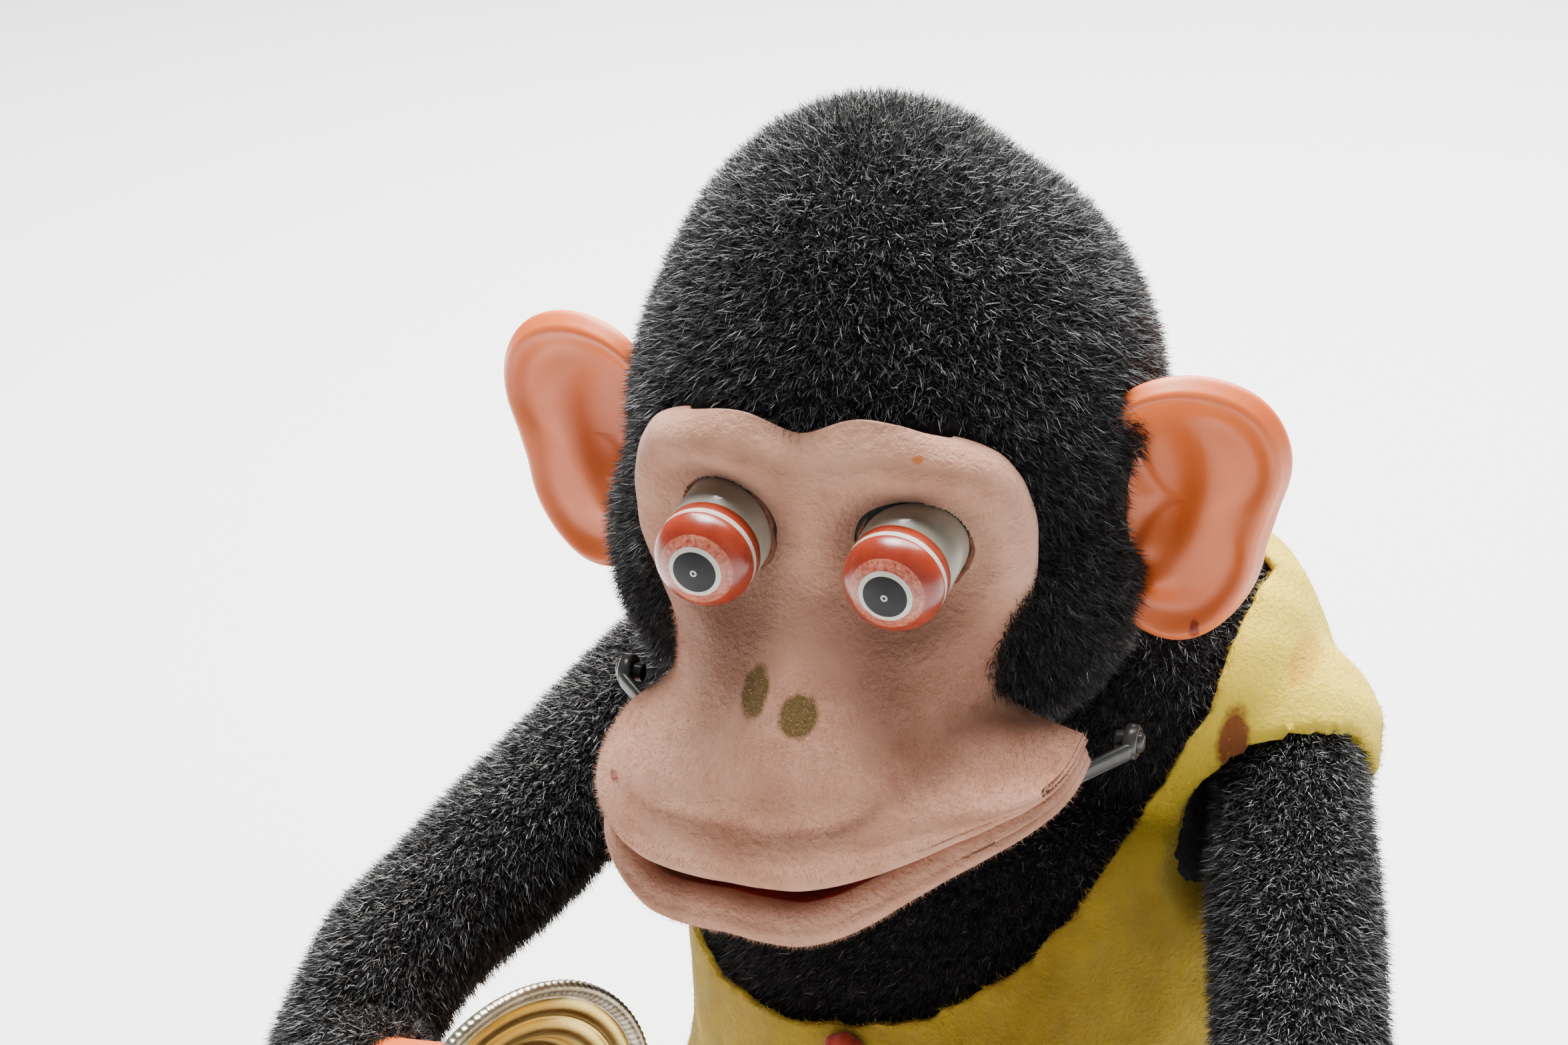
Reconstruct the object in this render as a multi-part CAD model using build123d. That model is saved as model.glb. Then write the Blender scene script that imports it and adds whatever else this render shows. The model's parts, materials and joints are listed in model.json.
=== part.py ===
from build123d import *
import math
import os

# A seated clockwork animal that claps two cymbals.  Millimetres, +Z up, front towards -Y.
# The origin is on the underside of the base, on the mid-plane.  "Left" is the figure's own left, +X.

# ---- driving dimensions ----
sheet = 0.8                     # tin thickness
run_gap = 0.05                  # radial clearance of every turning fit
soft_gap = 0.4                  # clearance between soft solids and their neighbours

casing_y = 6.0                  # centre of the tin casing
casing_a = 40.0                 # casing half width
casing_b = 34.0                 # casing half depth
casing_top = 114.8
tray_a, tray_b, tray_rim = 44.0, 38.0, 7.0
floor = 1.2

# belly and seat rings: height, centre y, half width, half depth
belly_rings = [(34.5, 5, 58, 49), (75, 4, 62, 51), (112, 4, 62, 46), (140, 8, 46, 28)]
seat_rings = [(4, 6, 50, 42), (14, 5, 57, 49), (33.8, 5, 58.5, 50)]
hunch_x, hunch_y, hunch_z, hunch_r = 40.0, 8.0, 138.0, 32.0    # the rounded bar of the shoulders

# shoulder, elbow, wrist and cuff centres of the left arm, with the sleeve's radius at each
shoulder = (67.0, 4.0, 130.0)
elbow = (99.0, -62.0, 90.0)
wrist = (97.0, -80.0, 64.0)
cuff = (85.0, -85.5, 66.5)
sleeve_r = (17.0, 16.0, 14.0, 12.0)
arm_swing = 22.5                # degrees from open to clapped
tail_length = 14.0

cymbal_r = 30.0
cymbal_centre = (39.5, -101.5, 75.0)
cymbal_turn = 23.0              # how far the striking face is turned forwards when open

neck_y = -12.0
nod_z = 158.5
head_yaw = 8.0
head_pitch = 8.0
nod_in_head = (0.0, 20.5, -42.5)   # the nod hinge as seen from the head's own centre
turn_limits = (-20.0, 12.0)
nod_limit = 8.0

crown, crown_r = (0.0, 6.0, 12.0), 50.0          # outside of the fur on top of the head
nape, nape_r = (0.0, 4.0, -9.0), 45.0            # and of the fur of the cheeks and neck
skull_r, face_r = 43.0, 48.8                     # both about the crown's centre
muzzle_x, muzzle_y, muzzle_z, muzzle_r = 21.0, -35.0, -36.0, 27.0
chin_x, chin_y, chin_z, chin_r = 20.0, -33.0, -44.0, 25.5
jaw_y, jaw_z = -21.0, -42.0
lip_slope, chin_slope = 18.0, 25.0
jaw_close = 4.0                 # degrees the open jaw can turn up
eye_x, eye_z, eye_r = 17.2, 2.5, 9.1
eye_front = -55.1

key_y, key_z = 14.0, 56.0
plate_x = 14.0                  # inner faces of the two motor plates
great_teeth, second_teeth, crank_teeth = 40, 36, 30
pinion_teeth, fly_teeth = 12, 10
great_module, second_module, crank_module = 0.8, 0.7, 0.6


# ---- small helpers ----
def ball(centre, radius):
    return Pos(*centre) * Sphere(radius)


def slab(low, high):
    size = [b - a for a, b in zip(low, high)]
    middle = [(a + b) / 2 for a, b in zip(low, high)]
    return Pos(*middle) * Box(*size)


def rod_between(start, end, start_r, end_r):
    run = Vector(*end) - Vector(*start)
    middle = Plane(origin=start, z_dir=run)
    if abs(start_r - end_r) < 1e-6:
        return Solid.make_cylinder(start_r, run.length, middle)
    return Solid.make_cone(start_r, end_r, run.length, middle)


def limb(points, radii):
    shape = ball(points[0], radii[0])
    for i in range(1, len(points)):
        shape += rod_between(points[i - 1], points[i], radii[i - 1], radii[i])
        shape += ball(points[i], radii[i])
    return shape


def cross_bar(x, y, z, radius):
    """A round-ended bar from side to side."""
    return limb([(-x, y, z), (x, y, z)], [radius, radius])


def ring_loft(rings, grow=0.0):
    faces = [Pos(0, y, z) * Ellipse(a + grow, b + grow) for z, y, a, b in rings]
    return loft(faces, ruled=True)


def oval_post(a, b, low, high, y=casing_y):
    return Pos(0, y, low) * extrude(Ellipse(a, b), high - low)


def along_x(x, y, z, radius, length):
    place = Plane(origin=(x, y, z), x_dir=(0, 1, 0), z_dir=(1, 0, 0))
    return place * extrude(Circle(radius), length)


def turned(shape, degrees, x, y):
    return Pos(x, y, 0) * Rot(0, 0, degrees) * Pos(-x, -y, 0) * shape


def mirrored(shape):
    return mirror(shape, about=Plane.YZ)


def both_sides(shape):
    return Compound([*solids_of(shape), *solids_of(mirrored(shape))])


def solids_of(shape):
    return list(shape.solids())


def gear(teeth, module, x, y, z, width, bore, tooth_at):
    """A spur gear across the X axis with one tooth centred at the angle tooth_at, in degrees."""
    pitch_r = teeth * module / 2
    flank = [(-0.26, -1.1), (-0.1, 0.75), (0.1, 0.75), (0.26, -1.1)]
    points = []
    for i in range(teeth):
        for share, rise in flank:
            angle = math.radians(tooth_at) + (i + share) * math.tau / teeth
            radius = pitch_r + rise * module
            points.append((radius * math.cos(angle), radius * math.sin(angle)))
    place = Plane(origin=(x, y, z), x_dir=(0, 1, 0), z_dir=(1, 0, 0))
    blank = place * extrude(make_face(Polyline(*points, close=True)), width)
    return blank - along_x(x - 1, y, z, bore, width + 2)


# ---- places of the gear arbors, across the X axis ----
def arbor_step(y, z, distance, degrees):
    angle = math.radians(degrees)
    return y + distance * math.cos(angle), z + distance * math.sin(angle)


second_angle, crank_angle, fly_angle = 125.0, 72.0, 146.0
second_y, second_z = arbor_step(key_y, key_z, (great_teeth + pinion_teeth) * great_module / 2, second_angle)
crank_y, crank_z = arbor_step(
    second_y, second_z, (second_teeth + pinion_teeth) * second_module / 2, crank_angle)
fly_y, fly_z = arbor_step(crank_y, crank_z, (crank_teeth + fly_teeth) * crank_module / 2, fly_angle)
key_r, arbor_r, fly_r = 2.5, 2.0, 1.2
yoke_half_travel = tail_length * math.sin(math.radians(arm_swing / 2))
yoke_y = shoulder[1] - yoke_half_travel
head_place = (Pos(0, neck_y, nod_z) * Rot(0, 0, head_yaw) * Rot(head_pitch, 0, 0)
              * Pos(*[-value for value in nod_in_head]))


# ---- base and tin casing ----
def base_tray():
    tray = oval_post(tray_a, tray_b, 0, tray_rim)
    tray -= oval_post(tray_a - sheet, tray_b - sheet, floor, tray_rim + 1)
    for x, y in screw_places():
        tray -= Pos(x, y, 0) * Cylinder(1.6, 6)
    return tray


def screw_places():
    return [(x, casing_y + y) for x in (-30, 30) for y in (-14, 14)]


def base_screws():
    screws = []
    for x, y in screw_places():
        shank = Pos(x, y, 2.6) * Cylinder(1.55, 5.0)
        head = Pos(x, y, floor + 0.75) * Cylinder(2.8, 1.5)
        screws.append((shank + head).solid())
    return Compound(screws)


def casing_half(side):
    wall = oval_post(casing_a, casing_b, floor, casing_top)
    wall -= oval_post(casing_a - sheet, casing_b - sheet, floor - 1, casing_top + 1)
    seam = oval_post(casing_a + 2.5, casing_b, floor + 8, casing_top - 8)
    seam -= oval_post(casing_a - 0.1, casing_b - 5, floor, casing_top)
    seam &= slab((-60, casing_y - sheet, 0), (60, casing_y + sheet, 200))
    keep = slab((-60, casing_y - 60, 0), (60, casing_y, 200))
    if side > 0:
        keep = slab((-60, casing_y, 0), (60, casing_y + 60, 200))
    half = (wall + seam) & keep
    return half - along_x(-60, key_y, key_z, key_r + 1.2, 40)


def shoulder_plate():
    plate = oval_post(casing_a, casing_b, casing_top, casing_top + floor)
    reach = shoulder[0]
    arm = slab((-reach, shoulder[1] - 7, casing_top), (reach, shoulder[1] + 7, casing_top + floor))
    plate += arm
    for side in (-1, 1):
        end = Pos(side * reach, shoulder[1], casing_top + floor / 2)
        plate += end * Cylinder(7, floor)
        plate -= end * Cylinder(2.0, 4)
        plate -= Pos(side * guide_x, shoulder[1], casing_top) * Cylinder(guide_r, 6)
    plate -= slab((stem_x - 0.6, yoke_y - 8.5, 110), (stem_x + 1.8, shoulder[1] + yoke_half_travel + 9.5, 120))
    return plate - Pos(0, neck_y, casing_top) * Cylinder(2.5, 6)


guide_x, guide_r = 34.0, 1.5
stem_x = 19.0
yoke_low, yoke_high = casing_top + floor + 0.4, casing_top + floor + 1.4


def shoulder_pins():
    pins = []
    for side in (-1, 1):
        pivot = Pos(side * shoulder[0], shoulder[1], 118.4) * Cylinder(2.0, 8.0)
        guide = Pos(side * guide_x, shoulder[1], 116.8) * Cylinder(guide_r, 4.4)
        pins += [pivot.solid(), guide.solid()]
    return Compound(pins)


def neck_post():
    low = casing_top + floor
    post = Pos(0, neck_y, (low + 148) / 2) * Cylinder(4.0, 148 - low)
    post += Pos(0, neck_y, 125.4) * Cylinder(6.0, 12.6)
    return post + Pos(0, neck_y, low - 1.2) * Cylinder(2.5, 2.4)


# ---- clockwork ----
def motor_plate(x):
    plate = slab((x, -16, floor), (x + 1, 32, 108))
    bores = [(key_y, key_z, key_r), (second_y, second_z, arbor_r),
             (crank_y, crank_z, arbor_r), (fly_y, fly_z, fly_r)]
    for y, z, radius in bores:
        plate -= along_x(x - 1, y, z, radius + run_gap, 3)
    return plate


def motor_pillars():
    return Compound([along_x(-plate_x, y, z, 2.0, 2 * plate_x).solid() for y in (-12, 28) for z in (30, 104)])


def mainspring():
    turns, inner_r, outer_r, strip = 6, 5.0, 14.6, 0.5
    steps = 24 * turns
    outer_side, inner_side = [], []
    for i in range(steps + 1):
        angle = math.tau * turns * i / steps
        radius = inner_r + (outer_r - inner_r) * i / steps
        outer_side.append((radius * math.cos(angle), radius * math.sin(angle)))
        inner_side.append(((radius - strip) * math.cos(angle), (radius - strip) * math.sin(angle)))
    place = Plane(origin=(-13, key_y, key_z), x_dir=(0, 1, 0), z_dir=(1, 0, 0))
    outline = Polyline(*outer_side, *reversed(inner_side), close=True)
    return place * extrude(make_face(outline), 10)


def key_arbor():
    return along_x(-82, key_y, key_z, key_r, 82 + plate_x + 1)


def key_handle():
    hub = along_x(-84, key_y, key_z, 4.2, 14)
    for side in (-1, 1):
        lobe = Pos(-86, key_y, key_z + side * 10.5)
        hub += lobe * Rot(90, 0, 0) * Cylinder(9.5, 2.4)
        hub -= lobe * Rot(90, 0, 0) * Cylinder(4.5, 6)
    return hub - key_arbor()


def ratchet_wheel():
    teeth, tip_r, root_r = 14, 7.0, 5.6
    points = []
    for i in range(teeth):
        for share, radius in ((0.0, tip_r), (0.12, root_r), (0.9, tip_r * 0.97)):
            angle = math.tau * (i + share) / teeth
            points.append((radius * math.cos(angle), radius * math.sin(angle)))
    place = Plane(origin=(-2, key_y, key_z), x_dir=(0, 1, 0), z_dir=(1, 0, 0))
    return place * extrude(make_face(Polyline(*points, close=True)), 2) - key_arbor()


def great_wheel():
    return gear(great_teeth, great_module, 1.0, key_y, key_z, 2.5, key_r + run_gap, second_angle)


def click():
    pawl = slab((-1.8, key_y - 5, key_z + 7.5), (0.2, key_y + 4, key_z + 9.5))
    post = along_x(-1.8, key_y + 4, key_z + 9.5, 1.8, 2.8)
    return pawl + post


def second_arbor():
    tooth_at = second_angle + 180 + 180 / pinion_teeth
    arbor = along_x(-plate_x - 1, second_y, second_z, arbor_r, 2 * plate_x + 2)
    return arbor + gear(pinion_teeth, great_module, 0.5, second_y, second_z, 3.5, arbor_r - 0.5, tooth_at)


def second_wheel():
    return gear(second_teeth, second_module, 6.0, second_y, second_z, 2.0, arbor_r, crank_angle)


def crank_arbor():
    tooth_at = crank_angle + 180 + 180 / pinion_teeth
    arbor = along_x(-plate_x - 1, crank_y, crank_z, arbor_r, 2 * plate_x + 3.4)
    return arbor + gear(pinion_teeth, second_module, 5.5, crank_y, crank_z, 3.0, arbor_r - 0.5, tooth_at)


def crank_wheel():
    return gear(crank_teeth, crank_module, -6.0, crank_y, crank_z, 2.0, arbor_r, fly_angle)


def crank_disc():
    disc = along_x(plate_x + 2.4, crank_y, crank_z, 6.0, 1.0)
    disc += along_x(plate_x + 3.0, crank_y - yoke_half_travel, crank_z, 1.2, 1.6)
    return disc - crank_arbor()


def governor_arbor():
    tooth_at = fly_angle + 180 + 180 / fly_teeth
    arbor = along_x(-plate_x - 1, fly_y, fly_z, fly_r, 2 * plate_x + 2)
    return arbor + gear(fly_teeth, crank_module, -6.5, fly_y, fly_z, 3.0, fly_r - 0.4, tooth_at)


def governor_fly():
    blades = slab((1, fly_y - 6.3, fly_z - 0.3), (12, fly_y + 6.3, fly_z + 0.3))
    blades += along_x(1, fly_y, fly_z, 2.2, 11)
    return blades - along_x(0, fly_y, fly_z, fly_r, 14)


# ---- arm drive ----
def arm_yoke():
    yoke = slab((-42, yoke_y - 7, yoke_low), (42, yoke_y + 7, yoke_high))
    yoke += slab((-57, yoke_y - 3.5, yoke_low), (57, yoke_y + 3.5, yoke_high))
    slot_x = shoulder[0] - tail_length * (1 + math.cos(math.radians(arm_swing / 2))) / 2
    for side in (-1, 1):
        at_pin = Pos(side * slot_x, yoke_y, yoke_low)
        yoke -= at_pin * Box(3.8, 2 * (tail_pin_r + 0.12), 6)
        travel = Pos(side * guide_x, shoulder[1] - yoke_half_travel, yoke_low)
        yoke -= travel * Box(2 * guide_r + 0.3, 2 * (guide_r + yoke_half_travel) + 0.3, 6)
    stem = slab((stem_x, yoke_y - 5, crank_z - 9), (stem_x + 1.2, yoke_y + 9, yoke_high))
    slot_y = crank_y - yoke_half_travel
    stem -= slab((stem_x - 1, slot_y - 1.4, crank_z - 5.3), (stem_x + 3, slot_y + 1.4, crank_z + 5.3))
    return yoke + stem


tail_pin_r = 1.25


def arm_lever():
    """Hub on the shoulder pin, with a tail that points inwards at half swing."""
    boss = Pos(shoulder[0], shoulder[1], 119.1) * Cylinder(4.5, 5.4)
    tail = slab((shoulder[0] - tail_length - 2.5, shoulder[1] - 2.5, 118.0), (shoulder[0], shoulder[1] + 2.5, 119.2))
    pin = Pos(shoulder[0] - tail_length, shoulder[1], 117.4) * Cylinder(tail_pin_r, 2.0)
    lever = turned(tail + pin, arm_swing / 2, shoulder[0], shoulder[1]) + boss
    return lever - Pos(shoulder[0], shoulder[1], 118.4) * Cylinder(2.0 + run_gap, 12)


def cymbal_back(depth):
    """The point on the cymbal's axis at this distance behind its striking face."""
    angle = math.radians(cymbal_turn)
    x, y, z = cymbal_centre
    return (x + depth * math.cos(angle), y + depth * math.sin(angle), z)


def arm_rod():
    start = (shoulder[0] + 1.2, shoulder[1] - 2.6, 119.9)
    path = limb([start, elbow, wrist, cuff, cymbal_back(22)], [1.6] * 5)
    return path - Pos(shoulder[0], shoulder[1], 119.1) * Cylinder(4.5, 5.4)


def sleeve(grow=0.0):
    return limb([shoulder, elbow, wrist, cuff], [radius + grow for radius in sleeve_r])


def arm_sleeve():
    shape = sleeve() - hand_blank() - arm_rod()
    shape -= Pos(shoulder[0], shoulder[1], 113.5) * Cylinder(8.5, 18)
    return shape - slab((40, -14, 112.5), (shoulder[0], 22, 122.5))


def hand_blank():
    hand = limb([cymbal_back(17), (76, -89.5, 69), (90, -83.5, 65.5)], [9.5, 8.5, 7.0])
    for i in range(4):
        lift = 6.0 - 4.0 * i
        base = Vector(*cymbal_back(15)) + Vector(0, -5, lift)
        tip = Vector(*cymbal_back(8.5)) + Vector(-5, -15, 1.4 * lift)
        hand += limb([tuple(base), tuple(tip)], [2.9, 2.4])
    thumb = Vector(*cymbal_back(9)) + Vector(-1, 4, 13)
    return hand + limb([cymbal_back(15), tuple(thumb)], [3.6, 2.8])


def arm_hand():
    hand = hand_blank() - cymbal_blank() - cymbal_rivet()
    hand -= arm_rod()
    return max(hand.solids(), key=lambda piece: piece.volume)


def cymbal_plane():
    angle = math.radians(cymbal_turn)
    return Plane(origin=cymbal_centre, x_dir=(0, 0, 1), z_dir=(-math.cos(angle), -math.sin(angle), 0))


def cymbal_profile(hollow=True):
    """Half section, radius against distance along the striking direction."""
    skin = 0.7
    under = 18.5
    front = [(0, -3.2), (under - 1.5, -3.2), (under, -0.5), (cymbal_r - 2.4, 0.0), (cymbal_r - 2.0, 0.9)]
    rim = [(cymbal_r - 0.3, 0.9), (cymbal_r, 0.4), (cymbal_r, -1.6), (cymbal_r - 2.0, -1.6)]
    back = [(cymbal_r - 2.4, -skin), (under, -0.5 - skin), (under - 1.0, -3.2 - skin), (0, -3.2 - skin)]
    if not hollow:
        back = [(0, -3.2 - skin)]
    return [*front, *rim, *back]


def cymbal_blank():
    outline = make_face(Polyline(*[(r, 0, h) for r, h in cymbal_profile()], close=True))
    return cymbal_plane() * revolve(outline, Axis.Z)


def cymbal():
    return cymbal_blank() - cymbal_rivet()


def cymbal_rivet():
    head = rod_between(cymbal_back(2.2), cymbal_back(3.2), 3.4, 3.4)
    return Part() + head + rod_between(cymbal_back(3.2), cymbal_back(12), 1.8, 1.8)


# ---- soft body ----
def casing_room():
    room = oval_post(tray_a + soft_gap, tray_b + soft_gap, -1, tray_rim + 1)
    room += oval_post(casing_a + 3, casing_b + soft_gap, 0, casing_top + floor + 8)
    return room


def drive_room():
    """The space that the shoulder plate, the yoke and the levers need."""
    reach = shoulder[0] + 12
    room = slab((-reach, shoulder[1] - 13, casing_top - 1.5), (reach, shoulder[1] + 15, 123.5))
    return room + Pos(0, neck_y, 145) * Cylinder(11, 64)


def arm_rooms(grow):
    """What the shoulder and upper arm sweep, as one ball and a few tubes."""
    rooms = [ball(shoulder, sleeve_r[0] + grow)]
    for share in (0, 0.5, 1):
        tube = rod_between(shoulder, elbow, sleeve_r[0] + grow - 0.3, sleeve_r[1] + grow)
        rooms.append(turned(Part() + tube, -arm_swing * share, shoulder[0], shoulder[1]))
    return rooms + [mirrored(room) for room in rooms]


def head_rooms(grow):
    """The crown and nape at the ends of the head's travel."""
    rooms = []
    for turn, nod in ((turn_limits[0], 0), (turn_limits[0], nod_limit), (turn_limits[1], 0), (turn_limits[1], nod_limit)):
        place = Pos(0, neck_y, nod_z) * Rot(0, 0, head_yaw + turn) * Rot(head_pitch - nod, 0, 0)
        place = place * Pos(*[-value for value in nod_in_head])
        rooms += [place * ball(crown, crown_r + grow), place * ball(nape, nape_r + grow)]
    return rooms


def torso_blank(grow=0.0):
    hunch = cross_bar(hunch_x, hunch_y, hunch_z, hunch_r + grow)
    return ring_loft(belly_rings, grow) + hunch


def torso_plush():
    body = torso_blank() - casing_room() - drive_room()
    for room in arm_rooms(1.3) + head_rooms(2.0):
        body -= room
    body -= along_x(30, key_y, key_z, 5.0, 60)
    return max(body.solids(), key=lambda piece: piece.volume)


def vest():
    cloth = torso_blank(2.3) - torso_blank(0.5)
    cloth -= Pos(-2, 0, 127) * Rot(90, 0, 0) * extrude(Ellipse(44, 43), 80)
    cloth -= slab((-46, -80, 127), (42, 0, 200))
    cloth -= Pos(-2, 0, 172) * Rot(-90, 0, 0) * extrude(Ellipse(44, 16), 80)
    for room in arm_rooms(4.0) + head_rooms(3.5):
        cloth -= room
    cloth -= along_x(30, key_y, key_z, 6.0, 60)
    return max(cloth.solids(), key=lambda piece: piece.volume)


def vest_button():
    return Pos(-3, -51, 76) * Rot(90, 0, 0) * Cylinder(4.6, 3.0)


def trousers_seat():
    return ring_loft(seat_rings) - casing_room()


def trouser_leg():
    leg = limb([(30, -22, 17.2), (43, -70, 16.0), (51, -95, 15.5)], [16.8, 15.0, 13.5])
    leg = leg - ring_loft(seat_rings, 0.2) - oval_post(tray_a + 0.6, tray_b + 0.6, -1, 40)
    leg -= foot_blank()
    return max(leg.solids(), key=lambda piece: piece.volume)


def foot_blank():
    foot = limb([(51, -109, 11.5), (53.5, -111, 26)], [12.5, 11.5])
    return foot & slab((0, -140, 0), (90, -60, 60))


# ---- head, in the head's own frame ----
def skull():
    shell = ball(crown, skull_r) - ball(crown, skull_r - 1.2)
    return shell - Pos(0, nod_in_head[1], -50) * Cylinder(16, 60)


def skull_front():
    shell = skull() & slab((-60, -60, -60), (60, crown[1], 80))
    for side in (-1, 1):
        tube = Pos(side * eye_x, -27, eye_z) * Rot(90, 0, 0)
        shell -= tube * Cylinder(eye_r + 1.6, 30)
        shell += tube * (Cylinder(eye_r + 1.7, 12) - Cylinder(eye_r + run_gap, 14))
    return shell


def skull_back():
    return skull() & slab((-60, crown[1], -60), (60, 60, 80))


def face_outline():
    outline = Pos(0, -4) * Rectangle(58, 34)
    for side in (-1, 1):
        outline += Pos(side * 18, 12) * Circle(15.5)
    return Pos(0, -2, 0) * Rot(90, 0, 0) * extrude(outline, 70)


def muzzle(grow=0.0):
    bar = cross_bar(muzzle_x, muzzle_y, muzzle_z, muzzle_r + grow)
    return bar & slab((-80, -90, -80), (80, -12, 0))


def below_plane(y, z, slope):
    """Everything under a plane that falls towards the front by slope degrees."""
    return Pos(0, y, z) * Rot(slope, 0, 0) * slab((-90, -90, -90), (90, 90, 0))


def face_mask():
    brow = (ball(crown, face_r) & face_outline()) - ball(crown, skull_r + 0.05)
    mask = brow + (muzzle() - ball(crown, skull_r + 0.05))
    mask -= cross_bar(muzzle_x, muzzle_y, muzzle_z, muzzle_r - 4.0)
    mask -= below_plane(jaw_y, jaw_z - 1.6, lip_slope)
    for share in (0, 0.5, 1):
        lifted = Pos(0, jaw_y, jaw_z) * Rot(-jaw_close * share, 0, 0) * Pos(0, -jaw_y, -jaw_z)
        mask -= lifted * both_sides(strap(soft_gap))
    for side in (-1, 1):
        mask -= Pos(side * eye_x, -40, eye_z) * Rot(90, 0, 0) * Cylinder(eye_r + 1.8, 40)
    return max(mask.solids(), key=lambda piece: piece.volume)


def ear():
    disc = Pos(60, 1, -2) * Rot(90, 0, 0) * extrude(Ellipse(17, 26.5), 8)
    disc -= Pos(61.5, -2, -1) * Rot(90, 0, 0) * extrude(Ellipse(12.5, 20.5), 8)
    disc += along_x(40, -3, -3, 3.9, 8)
    return disc - ball(crown, skull_r + 0.05)


def head_plush():
    fur = ball(crown, crown_r) + ball(nape, nape_r)
    fur = fur - ball(crown, skull_r + 0.1) - face_outline() - muzzle(0.2)
    fur -= slab((-80, -80, -90), (80, -11, -43))
    fur -= Pos(0, nod_in_head[1], -60) * Cylinder(17, 70)
    fur = fur - ear() - mirrored(ear())
    return max(fur.solids(), key=lambda piece: piece.volume)


def head_bracket():
    plate = slab((-40, 9, -26.5), (40, 32, -25.3)) & ball(crown, skull_r - 1.25)
    hinge = Pos(*nod_in_head) * Rot(0, 90, 0)
    for side in (-1, 1):
        x = side * 7.2
        plate += slab((x - 0.6, 16.5, nod_in_head[2]), (x + 0.6, 24.5, -26.0))
        plate += Pos(x, 0, 0) * hinge * Cylinder(4.0, 1.2)
    return plate - hinge * Cylinder(1.5, 30)


def nod_pin():
    return Pos(*nod_in_head) * Rot(0, 90, 0) * Cylinder(1.5, 17)


def jaw_pegs():
    peg = along_x(42, jaw_y, jaw_z, 1.8, 12.6) + along_x(54.4, jaw_y, jaw_z, 2.7, 0.9)
    peg -= cross_bar(muzzle_x, muzzle_y, muzzle_z, muzzle_r)
    return both_sides(max(peg.solids(), key=lambda piece: piece.volume))


def chin_blank():
    blank = cross_bar(chin_x, chin_y, chin_z, chin_r) & below_plane(jaw_y, jaw_z - 2.8, chin_slope)
    return blank & slab((-80, -90, -90), (80, jaw_y - 1, 0))


def mouth_lining():
    inside = cross_bar(chin_x, chin_y, chin_z, chin_r - 5) & slab((-80, -90, -90), (80, jaw_y - 4, 0))
    inside &= below_plane(jaw_y, jaw_z - 2.8, chin_slope)
    return inside - below_plane(jaw_y, jaw_z - 4.0, chin_slope)


def chin():
    return chin_blank() - mouth_lining()


def strap(grow=0.0):
    return Part() + rod_between((52.7, jaw_y, jaw_z), (40, -37, -52.5), 1.3 + grow, 1.3 + grow)


def jaw_straps():
    ring = along_x(51.6, jaw_y, jaw_z, 3.2, 2.2)
    shape = ring + strap() - along_x(40, jaw_y, jaw_z, 1.8 + run_gap, 20) - chin_blank()
    return both_sides(max(shape.solids(), key=lambda piece: piece.volume))


def eye():
    centre_y = eye_front + eye_r
    barrel = Pos(eye_x, (centre_y - 18) / 2, eye_z) * Rot(90, 0, 0) * Cylinder(eye_r, abs(centre_y + 18))
    return barrel + ball((eye_x, centre_y, eye_z), eye_r)


def eye_bar():
    bar = slab((-eye_x - 4, -18, eye_z - 3), (eye_x + 4, -15, eye_z + 3))
    return bar + slab((-3, -15, eye_z - 2), (3, -6, eye_z + 2))


def neck_collar():
    place = Pos(0, neck_y, 0) * Rot(0, 0, head_yaw)
    collar = Pos(0, 0, 141) * Cylinder(8.0, 18) - Pos(0, 0, 138) * Cylinder(4.0 + run_gap, 22)
    tongue = slab((-6, -4.5, 149.9), (6, 4.5, nod_z)) + Pos(0, 0, nod_z) * Rot(0, 90, 0) * Cylinder(4.5, 12)
    collar += tongue
    return place * (collar - Pos(0, 0, nod_z) * Rot(0, 90, 0) * Cylinder(1.5 + run_gap, 30))


# ---- assembly ----
left_hand_pieces = {
    "arm_lever": arm_lever, "arm_rod": arm_rod, "arm_sleeve": arm_sleeve,
    "hand": arm_hand, "cymbal": cymbal, "cymbal_rivet": cymbal_rivet,
    "trouser_leg": trouser_leg, "foot": foot_blank,
}
head_pieces = {
    "skull_front": skull_front, "skull_back": skull_back, "head_plush": head_plush,
    "face_mask": face_mask, "head_bracket": head_bracket, "nod_pin": nod_pin,
    "jaw_pegs": jaw_pegs, "chin": chin, "mouth_lining": mouth_lining,
    "jaw_straps": jaw_straps, "eye_bar": eye_bar,
}
body_pieces = {
    "base_tray": base_tray, "base_screws": base_screws,
    "shoulder_pins": shoulder_pins, "neck_post": neck_post,
    "motor_plate_left": lambda: motor_plate(plate_x), "motor_plate_right": lambda: motor_plate(-plate_x - 1),
    "motor_pillars": motor_pillars, "neck_collar": neck_collar,
    "torso_plush": torso_plush, "vest": vest, "vest_button": vest_button, "trousers_seat": trousers_seat,
}
# The drive is drawn with its key at -X and written mirrored, so the key leaves on the figure's left.
drive_pieces = {
    "front_casing": lambda: casing_half(-1), "back_casing": lambda: casing_half(1),
    "shoulder_plate": shoulder_plate, "arm_yoke": arm_yoke, "mainspring": mainspring,
    "key_handle": key_handle, "key_arbor": key_arbor, "ratchet_wheel": ratchet_wheel,
    "great_wheel": great_wheel, "click": click,
    "second_arbor": second_arbor, "second_wheel": second_wheel,
    "crank_arbor": crank_arbor, "crank_wheel": crank_wheel, "crank_disc": crank_disc,
    "governor_arbor": governor_arbor, "governor_fly": governor_fly,
}


def write(name, shape):
    export_step(shape, f"parts/{name}.step")


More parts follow.
